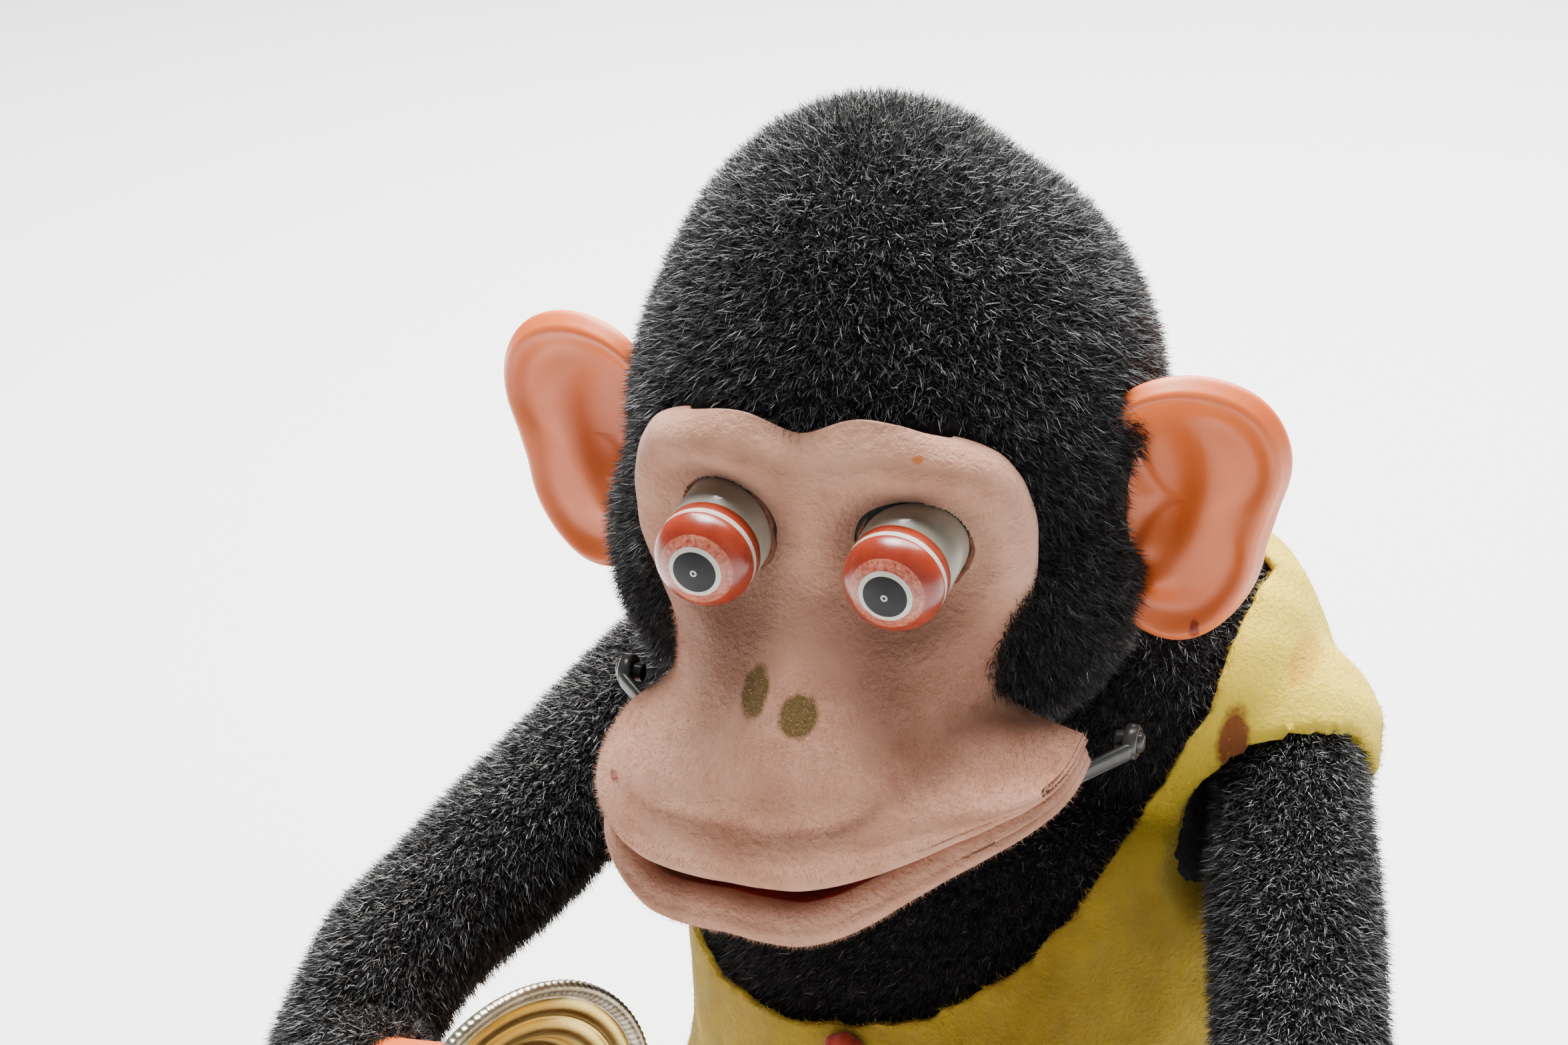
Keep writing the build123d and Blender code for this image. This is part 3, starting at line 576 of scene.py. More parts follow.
def face_grid():
    """Rows run from the forehead down to the upper lip. Returns points as rows x columns x 3.

    dip hollows the eye sockets, bridge, brow and nose stand out, and crease and roll shape the lip.
    """
    t = np.linspace(-1, 1, FACE_COLUMNS) * math.pi / 2
    level = np.linspace(FACE_Z[0], FACE_Z[-1], FACE_ROWS)
    points = np.empty((FACE_ROWS, FACE_COLUMNS, 3))
    for i, z in enumerate(level):
        half, power = eased(z, FACE_HALF), eased(z, FACE_POWER)
        front, edge = eased(z, FACE_FRONT), eased(z, FACE_EDGE)
        share = np.sin(t)
        narrowed = 1 - 0.08 * np.clip((-26 - z) / 10.0, 0, 1) * (share < 0)
        x = half * share * narrowed
        y = edge + (front - edge) * np.maximum(np.cos(t), 0) ** power
        side = np.where(x > 0, eased(z, EDGE_LEFT), eased(z, EDGE_RIGHT))
        height = z + np.abs(share) ** 2.4 * (side - z)
        low_edge = np.where(x > 0, EDGE_LEFT[-1], EDGE_RIGHT[-1])
        foot = FACE_Z[-1] + np.abs(share) ** 2.4 * (low_edge - FACE_Z[-1])
        height = height + np.clip((-24 - z) / 35.0, 0, 1) ** 1.4 * (lip_line(x) - foot)
        height = height - np.clip((z - 12) / 17.0, 0, 1) * 5.0 * bell(x, -2, 8.0)
        from_eye = np.hypot(np.abs(x) - EYE_X - 0.8, (height - EYE_Z) * 0.95)
        dip = 6.6 / (1 + np.exp((from_eye - 12.5) / 2.0))
        bridge = 1.0 * np.exp(-(x / 6.0) ** 2 - ((height - 2) / 12.0) ** 2)
        brow = 1.3 * np.exp(-((np.abs(x) - 17) ** 2) / 150.0 - (height - 19) ** 2 / 22.0)
        over = height - lip_line(x)
        middle = np.clip((np.cos(t) - 0.08) * 2.2, 0, 1)
        crease = 1.3 * bell(over, 11, 3.2) * middle
        roll = 1.5 * bell(over, 4.5, 3.6) * middle
        nose = 1.0 * np.exp(-(x / 8.0) ** 2 - (height + 15) ** 2 / 60.0)
        points[i] = np.stack([x, y + dip - bridge - brow + crease - roll - nose, height], axis=1)
    return points


def roll_rows(edge_row, radius, turn, count, inward):
    """Rolls a lip under (turn -1) or over (turn 1) from the given row, then runs inward rows (back, up)."""
    out = unit(edge_row[:, :2] - MUZZLE_MIDDLE)
    hub = edge_row.copy()
    hub[:, :2] -= out * radius
    rows = []
    for angle in np.linspace(0, math.pi, count)[1:]:
        row = hub.copy()
        row[:, :2] += out * radius * math.cos(angle)
        row[:, 2] += turn * radius * math.sin(angle)
        rows.append(row)
    last = rows[-1]
    for back, rise in inward:
        row = last.copy()
        row[:, :2] -= out * back
        row[:, 2] += rise
        rows.append(row)
    return rows


def soften(points, amount, seed):
    """Small bulges along Y, as on a soft stuffed surface."""
    flat = points.reshape(-1, 3)
    change = waves(flat, 26, seed) * amount + waves(flat, 9, seed + 1) * amount * 0.35
    flat[:, 1] += change
    return flat.reshape(points.shape)


def face_mask():
    """The flocked face with its eye holes and rolled upper lip. Returns the rows of its front."""
    front = soften(face_grid(), 0.45, 3)
    columns = front.shape[1]
    rolled = roll_rows(front[-1], LIP_R, -1, 14, [(1.0, 0.8), (5.0, 1.8), (22.0, 2.2)])
    grid = np.vstack([front.reshape(-1, 3)] + rolled)
    rows = len(grid) // columns
    lining = rows - 9
    kept, shades = [], []
    for face in grid_faces(rows, columns):
        middle = grid[list(face)].mean(axis=0)
        off = math.hypot(abs(middle[0]) - EYE_X, middle[2] - EYE_Z)
        if off < EYE_R + 0.7 and face[0] < front.size // 3:
            continue
        kept.append(face)
        shades.append(1 if face[0] // columns >= lining else 0)
    mesh = mesh_of("face", grid, kept, HEAD, shades=shades)
    obj = add_object("face", mesh, [FLOCK, MOUTH], "head", ["face_mask"])
    thicken(obj, FLOCK_THICK, -1)
    return front


def thicken(obj, amount, offset):
    modifier = obj.modifiers.new("thickness", "SOLIDIFY")
    modifier.thickness = amount * MM
    modifier.offset = offset
    modifier.use_quality_normals = True


def chin_grid(front):
    """Rows run from the lower lip down and back under the chin."""
    lip = front[-1].copy()
    x = lip[:, 0]
    share = x / 46.0
    full = np.clip(1 - np.abs(share) ** np.where(x > 0, 2.2, 5.0), 0, 1)
    gap = 2.6 + 3.6 * bell(x, 2, 20.0) + 3.6 * bell(x, -28, 12.0)
    lip[:, 2] -= LIP_R + gap * full + 1.6
    lip[:, 1] += 0.6 * full
    profile = np.array([(0.0, 0.0), (-1.4, -0.5), (-3.0, 0.1), (-4.4, 1.6), (-5.6, 3.9), (-6.5, 7.0),
                        (-7.2, 11.0), (-7.5, 16.0), (-7.5, 24.0)])
    steps = np.linspace(0, len(profile) - 1, 48)
    drop, back = (np.interp(steps, range(len(profile)), profile[:, k]) for k in (0, 1))
    out = lip[:, :2] - MUZZLE_MIDDLE
    reach = np.linalg.norm(out, axis=1)
    out /= reach[:, None]
    tall = np.where(x > 0, 1 - 0.62 * np.abs(share) ** 1.2, 1 - 0.25 * np.abs(share) ** 3)
    rows = []
    for fall, inside in zip(drop, back):
        row = lip.copy()
        row[:, :2] -= out * np.minimum(inside, reach * 0.85)[:, None]
        row[:, 2] += fall * tall
        rows.append(row)
    return np.array(rows)


def chin(front):
    """The flocked chin with its rolled lower lip and lining. Returns the rows of its front."""
    rows = soften(chin_grid(front), 0.35, 11)
    columns = rows.shape[1]
    rolled = roll_rows(rows[0], CHIN_LIP_R, 1, 12, [(0.8, 0.3), (4.0, 0.0), (24.0, 0.6)])
    grid = np.vstack(rolled[::-1] + [rows.reshape(-1, 3)])
    faces = grid_faces(len(grid) // columns, columns)
    lining = 8
    shades = [1 if face[0] // columns < lining else 0 for face in faces]
    mesh = mesh_of("chin", grid, faces, HEAD, shades=shades)
    obj = add_object("chin_and_lip", mesh, [FLOCK, MOUTH], "jaw", ["chin", "mouth_lining"])
    thicken(obj, FLOCK_THICK, -1)
    return rows


def in_face(points):
    """Whether points in the head's frame lie behind the face patch or the muzzle."""
    x, y, z = points.T
    half = eased(z, FACE_HALF)
    top = 28 - 5.0 * bell(x, -2, 8.0) - 5.0 * np.clip((np.abs(x) - 18) / 11, 0, 1) ** 2
    return (np.abs(x) < half - 2.0) & (z < top - 1.8) & (y < -18) & (z > -60)


HEAD_BALLS = [((-3, 7, 10), (39.5, 47, 53)), ((5, 7, 6), (44, 47, 50)), ((-3, 7, 5), (43.5, 47, 50)),
              ((0, 6, -10), (42, 40, 38)),
              ((22, -4, -16), (27, 30, 31)), ((-22, -4, -16), (27, 30, 31)),
              ((0, 10, -26), (30, 30, 24))]


def head_fur():
    mesh = blob("head_skin", HEAD_BALLS, voxel=1.6, smooth=14, place=HEAD)
    skin = add_object("head_skin", mesh, [FUR_SKIN], "head", ["head_plush"])

    def keep(points):
        own = placed(points, INTO_HEAD)
        hidden = in_face(own) | ((own[:, 1] < -27) & (own[:, 2] < -38))
        ear = (np.abs(own[:, 0]) > 38) & (np.hypot(own[:, 1] + 3, (own[:, 2] + 3) / 2.2) < 5)
        return (~(hidden | ear)).astype(float)

    grow_fur("head_fur", "head", mesh, count=60000, seeds=(21, 22, 23), width=0.21, lean=0.85,
             comb=np.array([0.0, 0.0, -0.28]), keep=keep)


def felt_fuzz(name, rows, body, count, seed):
    """Short fibres that stand off a flocked surface, thickest on the muzzle and the lips."""
    mesh = mesh_of(name + "_base", rows.reshape(-1, 3), grid_faces(*rows.shape[:2]), HEAD)

    def keep(points):
        own = placed(points, INTO_HEAD)
        eye = np.hypot(np.abs(own[:, 0]) - EYE_X, own[:, 2] - EYE_Z) < EYE_R + 1.5
        return (~eye).astype(float) * np.where(own[:, 2] < -18, 1.0, 0.5)

    root, normal, rng = scatter(mesh, count, seed, keep)
    toward = np.array(HEAD.to_3x3() @ Vector((0, -1, 0)))
    if (normal @ toward).mean() < 0:
        normal = -normal
    fuzz = strands(name, root, normal, rng, length=1.9, width=0.11, lean=1.1)
    add_object(name, fuzz, FUZZ, body)


def eye(side, name):
    """The barrel with its painted bands, the dome with its rings, and the felt rim of the socket."""
    centre = EYE_FRONT + EYE_DOME
    bands = [(0, 24, 0), (0, 4.0, 0), (-0.2, 3.9, 0), (-0.2, 3.75, 1), (0, 3.6, 1), (0, 1.35, 1),
             (-0.02, 1.3, 2), (-0.02, 0.05, 2), (0, 0.0, 1), (-0.02, -0.3, 1)]
    profile = [(EYE_R + sunk, height, shade) for sunk, height, shade in bands]
    rings = [(8.95, 1), (8.4, 1), (7.6, 1), (6.7, 1), (5.8, 3), (4.8, 3), (4.7, 2), (3.95, 2), (3.85, 4),
             (2.0, 4), (0.62, 4), (0.6, 2), (0.3, 2), (0.28, 4), (0.0, 4)]
    for radius, shade in rings:
        profile.append((radius, -EYE_DOME * math.sqrt(1 - (radius / EYE_R) ** 2), shade))
    spin = shift(side * EYE_X, centre, EYE_Z) @ turn_x(-90)
    mesh = lathe(name + "_eye_painted", profile, HEAD @ spin, 128)
    mesh.flip_normals()
    paint = [BARREL, RUST, WHITE, DOME, PUPIL]
    add_object(name + "_eye_painted", mesh, paint, "eyes", [name + "_eye"])

    def uneven(angle, radius, height):
        return 0.16 * math.sin(9 * angle) + 0.1 * math.sin(17 * angle)

    rim = [(10.4, -0.3), (10.1, -0.7), (9.7, -0.6), (9.45, 0.2), (9.4, 1.5), (9.5, 5.0), (9.7, 15.0)]
    place = shift(side * EYE_X, SOCKET_Y, EYE_Z) @ turn_z(side * SOCKET_SPLAY) @ turn_x(-90)
    ring = lathe(name + "_eye_socket", rim, HEAD @ place, 72, uneven)
    obj = add_object(name + "_eye_socket", ring, [SOCKET], "head")
    thicken(obj, 0.5, 0)


EAR_REACH = [12, 15, 25, 29.5, 22, 16, 16, 21, 25, 26, 25, 16, 12]     # one every 30 degrees, from inwards
EAR_ROOT, EAR_MIDDLE = 52, 58


def ear_relief(u, v, from_edge):
    """How far the front of the ear stands up at u outwards and v upwards from its middle."""
    rim = 1.5 * bell(from_edge, 2.6, 3.0)
    high = np.clip((v + 12) / 20, 0, 1)
    fold = -0.45 * bell(from_edge, 8, 3.0) * high - 0.3 * bell(from_edge, 6.5, 2.6)
    q = np.hypot((u + 11.5 - 0.25 * (v + 3)) / 11.5, (v + 1) / 18.0)
    bowl = -5.2 / (1 + np.exp((q - 1) / 0.15))
    ridge = 0.4 * bell(q, 1.25, 0.25)
    lobe = -0.8 * np.exp(-(((u + 1) / 7) ** 2 + ((v + 21) / 5) ** 2))
    tragus = (3.2 * np.exp(-(((u + 8) / 4.5) ** 2 + ((v + 9) / 4) ** 2))
              + 1.6 * np.exp(-(((u + 5) / 3) ** 2 + ((v + 15) / 3) ** 2)))
    return rim + fold + bowl + ridge + lobe + tragus


def ear(side, name):
    """A dished ear with a rolled rim, as a closed skin: front rows out to the edge, then back rows in."""
    columns, rows = 200, 64
    angle = np.linspace(-math.pi, math.pi, columns, endpoint=False)
    reach = np.interp(np.degrees(angle), np.linspace(-180, 180, len(EAR_REACH)), EAR_REACH)
    reach = smoothed(reach, 25, "wrap")
    share = np.sin(np.linspace(0.02, 1, rows) * math.pi / 2)
    points = []
    for layer in (0, 1):
        for s in share if layer == 0 else share[::-1]:
            u, v = s * reach * np.cos(angle), s * reach * np.sin(angle)
            from_edge = (1 - s) * reach
            rounded = 1.9 * np.sqrt(np.clip(from_edge / 2.6, 0, 1))
            front = ear_relief(u, v, from_edge) * np.clip(from_edge / 1.6, 0, 1)
            depth = front + rounded if layer == 0 else np.minimum(front, 1.2) - 0.6 - 0.5 * rounded
            out, up = EAR_MIDDLE + u, v - 2
            points.append(np.stack([out, -4.0 + 0.22 * (out - EAR_ROOT) - depth, up], axis=1))
    grid = np.vstack(points)
    faces = capped_tube_faces(2 * rows, columns)
    place = HEAD if side > 0 else HEAD @ MIRROR
    mesh = mesh_of(name + "_ear_vinyl", grid, faces, place, flip=side > 0)
    add_object(name + "_ear_vinyl", mesh, [VINYL], "head", [name + "_ear"])


def round_off(obj, levels):
    modifier = obj.modifiers.new("rounding", "SUBSURF")
    modifier.levels = levels
    modifier.render_levels = levels


def jaw_fitting(side, name):
    """The grey eyelet on its slotted peg, with the strap that runs to the corner of the mouth."""
    out = 52.8 if side > 0 else 45.5        # the right one is drawn in: the photograph shows none there
    outwards = Matrix.Rotation(math.radians(90 * side), 4, "Y")
    place = HEAD @ shift(side * out, JAW_Y, JAW_Z) @ outwards
    ring = [(1.95, -1.0), (1.95, 0.9), (2.2, 1.25), (2.8, 1.3), (3.25, 1.0), (3.3, -0.9), (3.0, -1.2),
            (2.1, -1.2), (1.95, -1.0)]
    mesh = lathe(name + "_jaw_eyelet", ring, place, 64)
    add_object(name + "_jaw_eyelet", mesh, [GREY_PLASTIC], "jaw", ["jaw_straps"])
    ends = [(side * (out - 0.2), JAW_Y - 3, JAW_Z - 0.4), (side * (out - 9), -30, -45.8)]
    balls = balls_on(ends, (1.0, 0.9), 0.6)
    flat = [(centre + np.array([0, 0, lift]), radii) for centre, radii in balls for lift in (-0.9, 0, 0.9)]
    strap = blob(name + "_jaw_strap", flat, voxel=0.45, smooth=6, place=HEAD)
    add_object(name + "_jaw_strap", strap, [GREY_PLASTIC], "jaw")
    peg = [(0.0, 2.3), (1.2, 2.3), (1.6, 2.0), (1.75, 1.4), (1.75, -3.0)]

    def slotted(angle, radius, height):
        return 0.25 * math.cos(2 * angle) * (radius > 0.5) * (height > 1.2)

    mesh = lathe(name + "_jaw_peg", peg, place, 48, slotted)
    add_object(name + "_jaw_peg", mesh, [GREY_PLASTIC], "head", ["jaw_pegs"])


# ---- torso, vest and trousers ----
def closed_rings(rings, rows, columns, grow):
    """A closed tube through elliptical rings given as (height, middle y, half width, half depth)."""
    level = np.linspace(rings[0][0], rings[-1][0], rows)
    angle = np.linspace(0, math.tau, columns, endpoint=False)
    zs = [ring[0] for ring in rings]
    points = []
    for z in level:
        y, a, b = (np.interp(z, zs, [ring[k] for ring in rings]) for k in (1, 2, 3))
        across, along = (a + grow) * np.cos(angle), y + (b + grow) * np.sin(angle)
        points.append(np.stack([across, along, np.full(columns, z)], axis=1))
    return np.vstack(points), capped_tube_faces(rows, columns)


def torso_blob(name, grow, voxel):
    """The stuffed body before it settles: belly, shoulder bar and shoulder caps."""
    balls = balls_on(HUNCH, (HUNCH_R + grow, HUNCH_R + grow), 0.12)
    for side in (-1, 1):
        balls += balls_on([(side * 46, 7, 134), (side * 65, 7, 124)], (24 + grow, 18.5 + grow), 0.15)
    return blob(name, balls, voxel, smooth=16, extra=[closed_rings(BELLY, 24, 96, grow)])


def settled(points):
    """Leans the body about its neck, less and less towards the seat."""
    points = points.copy()
    share = np.clip((points[:, 2] - 15) / 70.0, 0, 1)
    angle = np.radians(LEAN) * share ** 2 * (3 - 2 * share)
    x, z = points[:, 0].copy(), NOD_Z - points[:, 2]
    points[:, 0] = x * np.cos(angle) + z * np.sin(angle)
    points[:, 2] = NOD_Z - z * np.cos(angle) + x * np.sin(angle)
    return points


def head_clear(points, room):
    """Distance outside the head's balls, grown by room, with the head at rest."""
    own = placed(points, INTO_HEAD)
    clear = np.full(len(own), 1e9)
    for centre, radii in HEAD_BALLS:
        grown = np.array(radii) + room
        clear = np.minimum(clear, (np.linalg.norm((own - np.array(centre)) / grown, axis=1) - 1) * min(grown))
    return clear


def arm_clear(points, room):
    """Distance outside both upper arms at rest, halfway and at the end of their swing."""
    clear = np.full(len(points), 1e9)
    for side in (-1, 1):
        for share in (0, 0.5, 1):
            turn = shift(*PIVOT) @ turn_z(-SWING * share) @ shift(*-Vector(PIVOT))
            a, b = np.array(turn @ Vector(ROOT[side])), np.array(turn @ Vector(ELBOW[side]))
            own = points * np.array([side, 1, 1])
            t = np.clip(((own - a) @ (b - a)) / ((b - a) @ (b - a)), 0, 1)
            thick = ARM_R[side][0] + (ARM_R[side][2] - ARM_R[side][0]) * t
            clear = np.minimum(clear, np.linalg.norm(own - a - t[:, None] * (b - a), axis=1) - thick - room)
    return clear


def yielding(points, room):
    """Presses the settled body in under the arms and down under the head, in small steps."""
    points, step = settled(points), 0.5
    for _ in range(70):
        bad = arm_clear(points, room) < 0
        points[bad, 0] -= np.sign(points[bad, 0]) * step
    for _ in range(50):
        points[head_clear(points, room + 1.5) < 0, 2] -= step
    return points


def torso():
    mesh = torso_blob("torso_skin", grow=-0.5, voxel=2.2)
    loose = points_of(mesh)
    cover = (vest_value(loose) < 1.5) & (loose[:, 2] > 55)
    set_points(mesh, yielding(loose, 0.5))
    skin = add_object("torso_skin", mesh, [FUR_SKIN], "chassis", ["torso_plush"])
    grow_fur("torso_fur", "chassis", mesh, count=56000, seeds=(41, 42), width=0.2, lean=0.8,
             comb=np.array([0, 0, -0.3]), cover=cover.astype(float))


NECK_X = [-80, -68, -59, -50, -43, -24, -6, 11, 27, 39, 51, 62, 71]
NECKLINE = [175, 120, 94, 86, 81, 80, 81.5, 85, 94, 106, 125, 141, 175]


def vest_value(points):
    """Positive on the vest before the body settles: below the neckline, above the hem, round the armholes."""
    x, y, z = points.T
    front = (np.interp(x, NECK_X, NECKLINE) - z) * 0.6
    back = np.maximum(156 - z, np.abs(x) - 59)
    neck = np.where(y < 8, front, np.maximum(front, back))
    hole = (np.hypot((y - 15) / 12.0, (z - 104) / 24.0) - 1) * 14
    hole = np.where(np.abs(x) > 40, hole, 50)
    hem = z - 37.0 - 0.8 * np.sin(x * 0.23 + y * 0.1)
    return np.minimum(np.minimum(neck, hole), hem)


def edge_loops(mesh):
    """Vertex pairs of the open edges."""
    seen = {}
    for polygon in mesh.polygons:
        for pair in polygon.edge_keys:
            seen[pair] = seen.get(pair, 0) + 1
    return [pair for pair, uses in seen.items() if uses == 1]


def vest():
    rough = torso_blob("vest_base", grow=2.4, voxel=1.7)
    points, normals = points_of(rough), normals_of(rough)
    wrinkle = waves(points * np.array([1, 1, 0.5]), 34, 51) * 0.7 + waves(points, 13, 52) * 0.3
    points = points + normals * wrinkle[:, None]
    ragged = vest_value(points) + waves(points, 5, 53) * 0.4
    points, faces = clipped(points, triangles_of(rough), ragged)
    mesh = mesh_of("vest_cloth", yielding(np.array(points), 2.2), faces)
    obj = add_object("vest_cloth", mesh, [FELT], "chassis", ["vest"])
    thicken(obj, FELT_THICK, 1)
    fray(mesh)


def fray(mesh):
    """Loose fibres along every cut edge of the vest, and a thin nap all over."""
    rng = np.random.default_rng(61)
    points, normals = points_of(mesh), normals_of(mesh)
    roots, aims = [], []
    for a, b in edge_loops(mesh):
        for _ in range(7):
            t = rng.random()
            roots.append(points[a] * (1 - t) + points[b] * t + normals[a] * rng.uniform(0.1, 1.2))
            aims.append(normals[a] + 0.6 * rng.normal(size=3))
    root, normal = np.array(roots), unit(np.array(aims))
    fibres = strands("vest_fray", root, normal, rng, length=1.7, width=0.09, lean=1.2)
    add_object("vest_fray", fibres, FELT_FIBRE, "chassis")
    root, normal, rng = scatter(mesh, count=40000, seed=62)
    nap = strands("vest_nap", root + normal * 1.2, normal, rng, length=0.8, width=0.07, lean=2.2)
    add_object("vest_nap", nap, FELT_FIBRE, "chassis")


def button():
    profile = [(0, -2.4), (2.2, -2.3), (3.8, -1.7), (4.5, -0.6), (4.6, 0.4), (4.2, 1.2), (0, 1.2)]
    place = shift(*BUTTON) @ turn_x(-90)
    mesh = lathe("felt_button", profile, place, 72, lambda a, r, h: 0.2 * math.sin(7 * a) * (r > 2))
    mesh.flip_normals()
    add_object("felt_button", mesh, [RED_FELT], "chassis", ["vest_button"])
    root, normal, rng = scatter(mesh, count=2600, seed=66)
    fibre = plain("red_fibre", (0.5, 0.07, 0.03), 0.9)
    fuzz = strands("button_fuzz", root, normal, rng, length=1.2, width=0.08, lean=1.2)
    add_object("button_fuzz", fuzz, [fibre, fibre], "chassis")


def trousers():
    balls = []
    for side in (-1, 1):
        balls += balls_on([(side * x, y, z) for x, y, z in LEG], [radius - 1.0 for radius in LEG_R], 0.2)
    mesh = blob("trousers", balls, voxel=2.6, smooth=10, extra=[closed_rings(SEAT, 10, 96, grow=-0.6)])
    set_points(mesh, settled(points_of(mesh)))
    mesh = puffed(mesh)
    nodes = ["trousers_seat", "left_trouser_leg", "right_trouser_leg"]
    obj = add_object("trousers", mesh, [TROUSER], "chassis", nodes)
    round_off(obj, 1)


def puffed(mesh):
    """Blows the sewn shell up a little by cloth simulation, for its wrinkles, and keeps it off the floor."""
    before = points_of(mesh)
    obj = linked("puff", mesh)
    cloth = obj.modifiers.new("cloth", "CLOTH")
    cloth.settings.quality = 5
    cloth.settings.use_pressure = True
    cloth.settings.uniform_pressure_force = 4
    cloth.settings.shrink_min = -0.06
    cloth.settings.effector_weights.gravity = 0
    scene = bpy.context.scene
    for number in range(1, 16):
        scene.frame_set(number)
    name = mesh.name
    result = bake(obj, name)
    scene.frame_set(1)
    after = points_of(result)
    move = after - before
    length = np.linalg.norm(move, axis=1)
    furthest, floor_gap = 2.2, 0.4
    move *= (np.minimum(length, furthest) / np.maximum(length, 1e-9))[:, None]
    after = before + move
    after[:, 2] = np.maximum(after[:, 2], floor_gap)
    set_points(result, after)
    return result


def shoe(side, name):
    toe = balls_on([(side * 51, -109, 12), (side * 53.5, -111, 26)], (11.6, 11.0), 0.2)
    mesh = blob(name + "_shoe", toe, voxel=1.2, smooth=10)
    points = points_of(mesh)
    points[:, 2] = np.maximum(points[:, 2], 0.0)
    front = np.clip((-points[:, 1] - 116) / 5.0, 0, 1)
    points[:, 1] += front * 1.2
    set_points(mesh, points)
    obj = add_object(name + "_shoe", mesh, [SHOE], "chassis", [name + "_foot"])
    round_off(obj, 1)


# ---- arms ----
def sleeve(side, name):
    place = HERE if side > 0 else MIRROR
    middle = tuple((a + b) / 2 for a, b in zip(ROOT[side], ELBOW[side]))
    path = [ROOT[side], middle, ELBOW[side], WRIST, CUFF]
    mesh = blob(name + "_sleeve_skin", balls_on(path, ARM_R[side]), voxel=1.7, smooth=12, place=place)
    face_out(mesh)
    points, normals = points_of(mesh), normals_of(mesh)
    set_points(mesh, points + normals * (waves(points, 24, 71) * 0.6)[:, None])
    body = name + "_arm"
    skin = add_object(name + "_sleeve_skin", mesh, [FUR_SKIN], body, [name + "_arm_sleeve"])
    grow_fur(name + "_sleeve_fur", body, mesh, count=42000, seeds=(72 + side, 73 + side), width=0.21,
             lean=0.75, comb=np.array([0.1 * side, -0.35, -0.3]))


def face_out(mesh):
    """Turns the normals of a closed mesh outwards, which mirroring may have turned in."""
    points, normals = points_of(mesh), normals_of(mesh)
    if ((points - points.mean(axis=0)) * normals).sum() < 0:
        mesh.flip_normals()


def cymbal_axis():
    angle = math.radians(CYMBAL_TURN)
    return Vector((math.cos(angle), math.sin(angle), 0))


def cymbal(side, name):
    face = -cymbal_axis()
    place = shift(*CYMBAL) @ face.to_track_quat("Z", "Y").to_matrix().to_4x4()
    place = place if side > 0 else MIRROR @ place
    profile = [(0.0, -3.2, 0), (4.6, -3.2, 0), (5.0, -2.9, 0), (5.6, -3.2, 0), (16.4, -3.25, 0),
               (17.2, -3.0, 0), (17.9, -2.0, 0), (18.3, -0.9, 0), (19.0, -0.45, 0), (22.4, -0.2, 0),
               (22.8, -0.5, 0), (23.2, -0.2, 0), (26.6, 0.0, 0), (27.0, -0.35, 1), (27.4, 0.3, 1),
               (28.0, 0.8, 1), (28.9, 0.95, 1), (29.7, 0.75, 1), (30.0, 0.2, 1), (30.0, -0.8, 1),
               (29.6, -1.5, 1), (28.6, -1.6, 1), (27.6, -1.2, 1), (27.2, -0.8, 1), (23.0, -0.9, 0),
               (18.8, -1.2, 0), (18.0, -2.6, 0), (17.2, -3.8, 0), (0.0, -3.9, 0)]

    def crimp(angle, radius, height):
        return 0.13 * math.sin(120 * angle) * (radius > 27.2) * (height > -1.4)

    mesh = lathe(name + "_cymbal_spun", profile, place, 480, crimp)
    if side > 0:
        mesh.flip_normals()
    add_object(name + "_cymbal_spun", mesh, [BRASS, RIM], name + "_arm", [name + "_cymbal"])


def cymbal_back(depth):
    return Vector(CYMBAL) + cymbal_axis() * depth


def hand(side, name):
    balls = balls_on([cymbal_back(17), (76, -89.5, 69), (89, -83.5, 65.5)], (9.0, 8.3, 7.2), 0.25)
    for i in range(4):
        lift = 6.0 - 4.0 * i
        base = cymbal_back(15) + Vector((0, -5, lift))
        knuckle = cymbal_back(11.5) + Vector((-1, -12, 1.25 * lift))
        tip = cymbal_back(8.0) + Vector((-5.5, -15.5, 1.4 * lift))
        balls += balls_on([base, knuckle, tip], (2.9, 2.6, 2.2), 0.3)
    thumb = cymbal_back(9) + Vector((-1, 4, 13))
    balls += balls_on([cymbal_back(15), thumb], (3.6, 2.6), 0.3)
    mesh = blob(name + "_hand_vinyl", balls, voxel=0.8, smooth=8, place=HERE if side > 0 else MIRROR)
    face_out(mesh)
    add_object(name + "_hand_vinyl", mesh, [VINYL], name + "_arm", [name + "_hand"])


# ---- carried-over CAD nodes ----
def finish_cad_nodes():
    choice = {"brass": BRASS, "tin": TIN, "grey_plastic": GREY_PLASTIC}
    slots = {entry["node"]: entry["material_slot"] for entry in frame["record"]["subparts"]}
    for node, obj in frame["nodes"].items():
        material = choice.get(slots[node], STEEL)
        obj.data.materials.clear()
        obj.data.materials.append(material)


# ---- studio ----
CAMERA_AT = (153.0, -479.1, 264.3)              # in the head's frame
CAMERA_ANGLES = (19.85, 28.95, -2.88)           # azimuth, elevation and roll, seen from the head


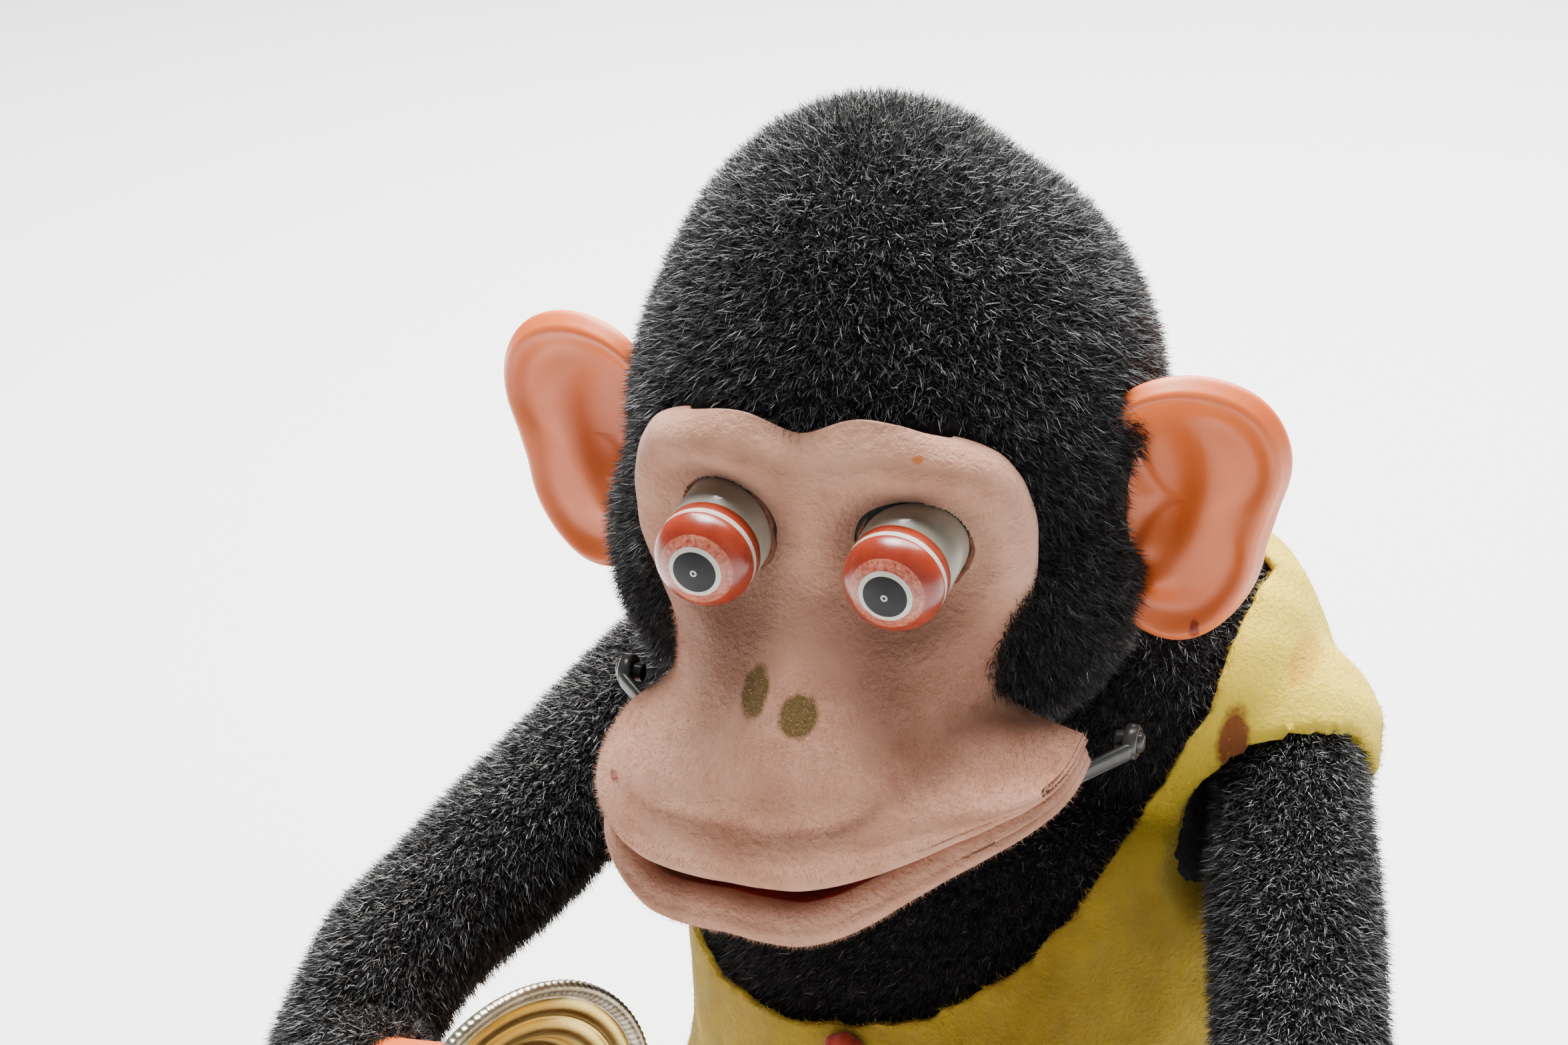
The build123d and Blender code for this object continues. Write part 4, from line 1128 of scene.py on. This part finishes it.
def camera():
    azimuth, elevation, roll = (math.radians(value) for value in CAMERA_ANGLES)
    flat = math.cos(elevation)
    towards = Vector((math.sin(azimuth) * flat, -math.cos(azimuth) * flat, math.sin(elevation)))
    level = Vector((math.cos(azimuth), math.sin(azimuth), 0))
    upright = towards.cross(level)
    right = level * math.cos(roll) + upright * math.sin(roll)
    above = upright * math.cos(roll) - level * math.sin(roll)
    turn = Matrix((right, above, towards)).transposed()
    data = bpy.data.cameras.new("camera")
    data.lens, data.sensor_width = 70, 36
    data.clip_start = 0.01
    obj = linked("camera", data)
    obj.matrix_world = Matrix.Translation(HEAD @ Vector(CAMERA_AT) * MM) @ (HEAD.to_3x3() @ turn).to_4x4()
    bpy.context.scene.camera = obj


def lamp(name, place, target, size, power):
    data = bpy.data.lights.new(name, "AREA")
    data.shape = "DISK"
    data.size = size
    data.energy = power
    obj = linked(name, data)
    obj.location = place
    obj.rotation_euler = (Vector(target) - Vector(place)).to_track_quat("-Z", "Y").to_euler()


def studio():
    mesh = bpy.data.meshes.new("floor")
    mesh.from_pydata([(-4, -4, 0), (4, -4, 0), (4, 4, 0), (-4, 4, 0)], [], [(0, 1, 2, 3)])
    mesh.materials.append(plain("floor_paper", (0.82, 0.815, 0.805), 0.95))
    floor = linked("floor", mesh)
    floor.location.z = -0.0002
    world = bpy.data.worlds.new("studio")
    world.use_nodes = True
    set_inputs(world.node_tree.nodes["Background"], Color=(0.93, 0.93, 0.94, 1), Strength=0.2)
    bpy.context.scene.world = world
    target = (0, -0.03, 0.18)
    lamp("overhead", (-0.1, 0.75, 1.35), (0, 0.55, 0), size=1.7, power=145)
    lamp("key", (-0.12, -0.03, 0.98), target, size=0.4, power=14)
    lamp("fill", (0.9, -0.7, 0.5), target, size=0.8, power=0.4)


finish_cad_nodes()
face_front = face_mask()
chin_front = chin(face_front)
head_fur()
felt_fuzz("face_fuzz", face_front, "head", count=56000, seed=31)
felt_fuzz("chin_fuzz", chin_front, "jaw", count=16000, seed=32)
torso()
vest()
button()
trousers()
for side_piece in ((-1, "right"), (1, "left")):          # the figure's own sides: its left is at +X
    for build in (eye, ear, jaw_fitting, sleeve, cymbal, hand, shoe):
        build(*side_piece)
camera()
studio()
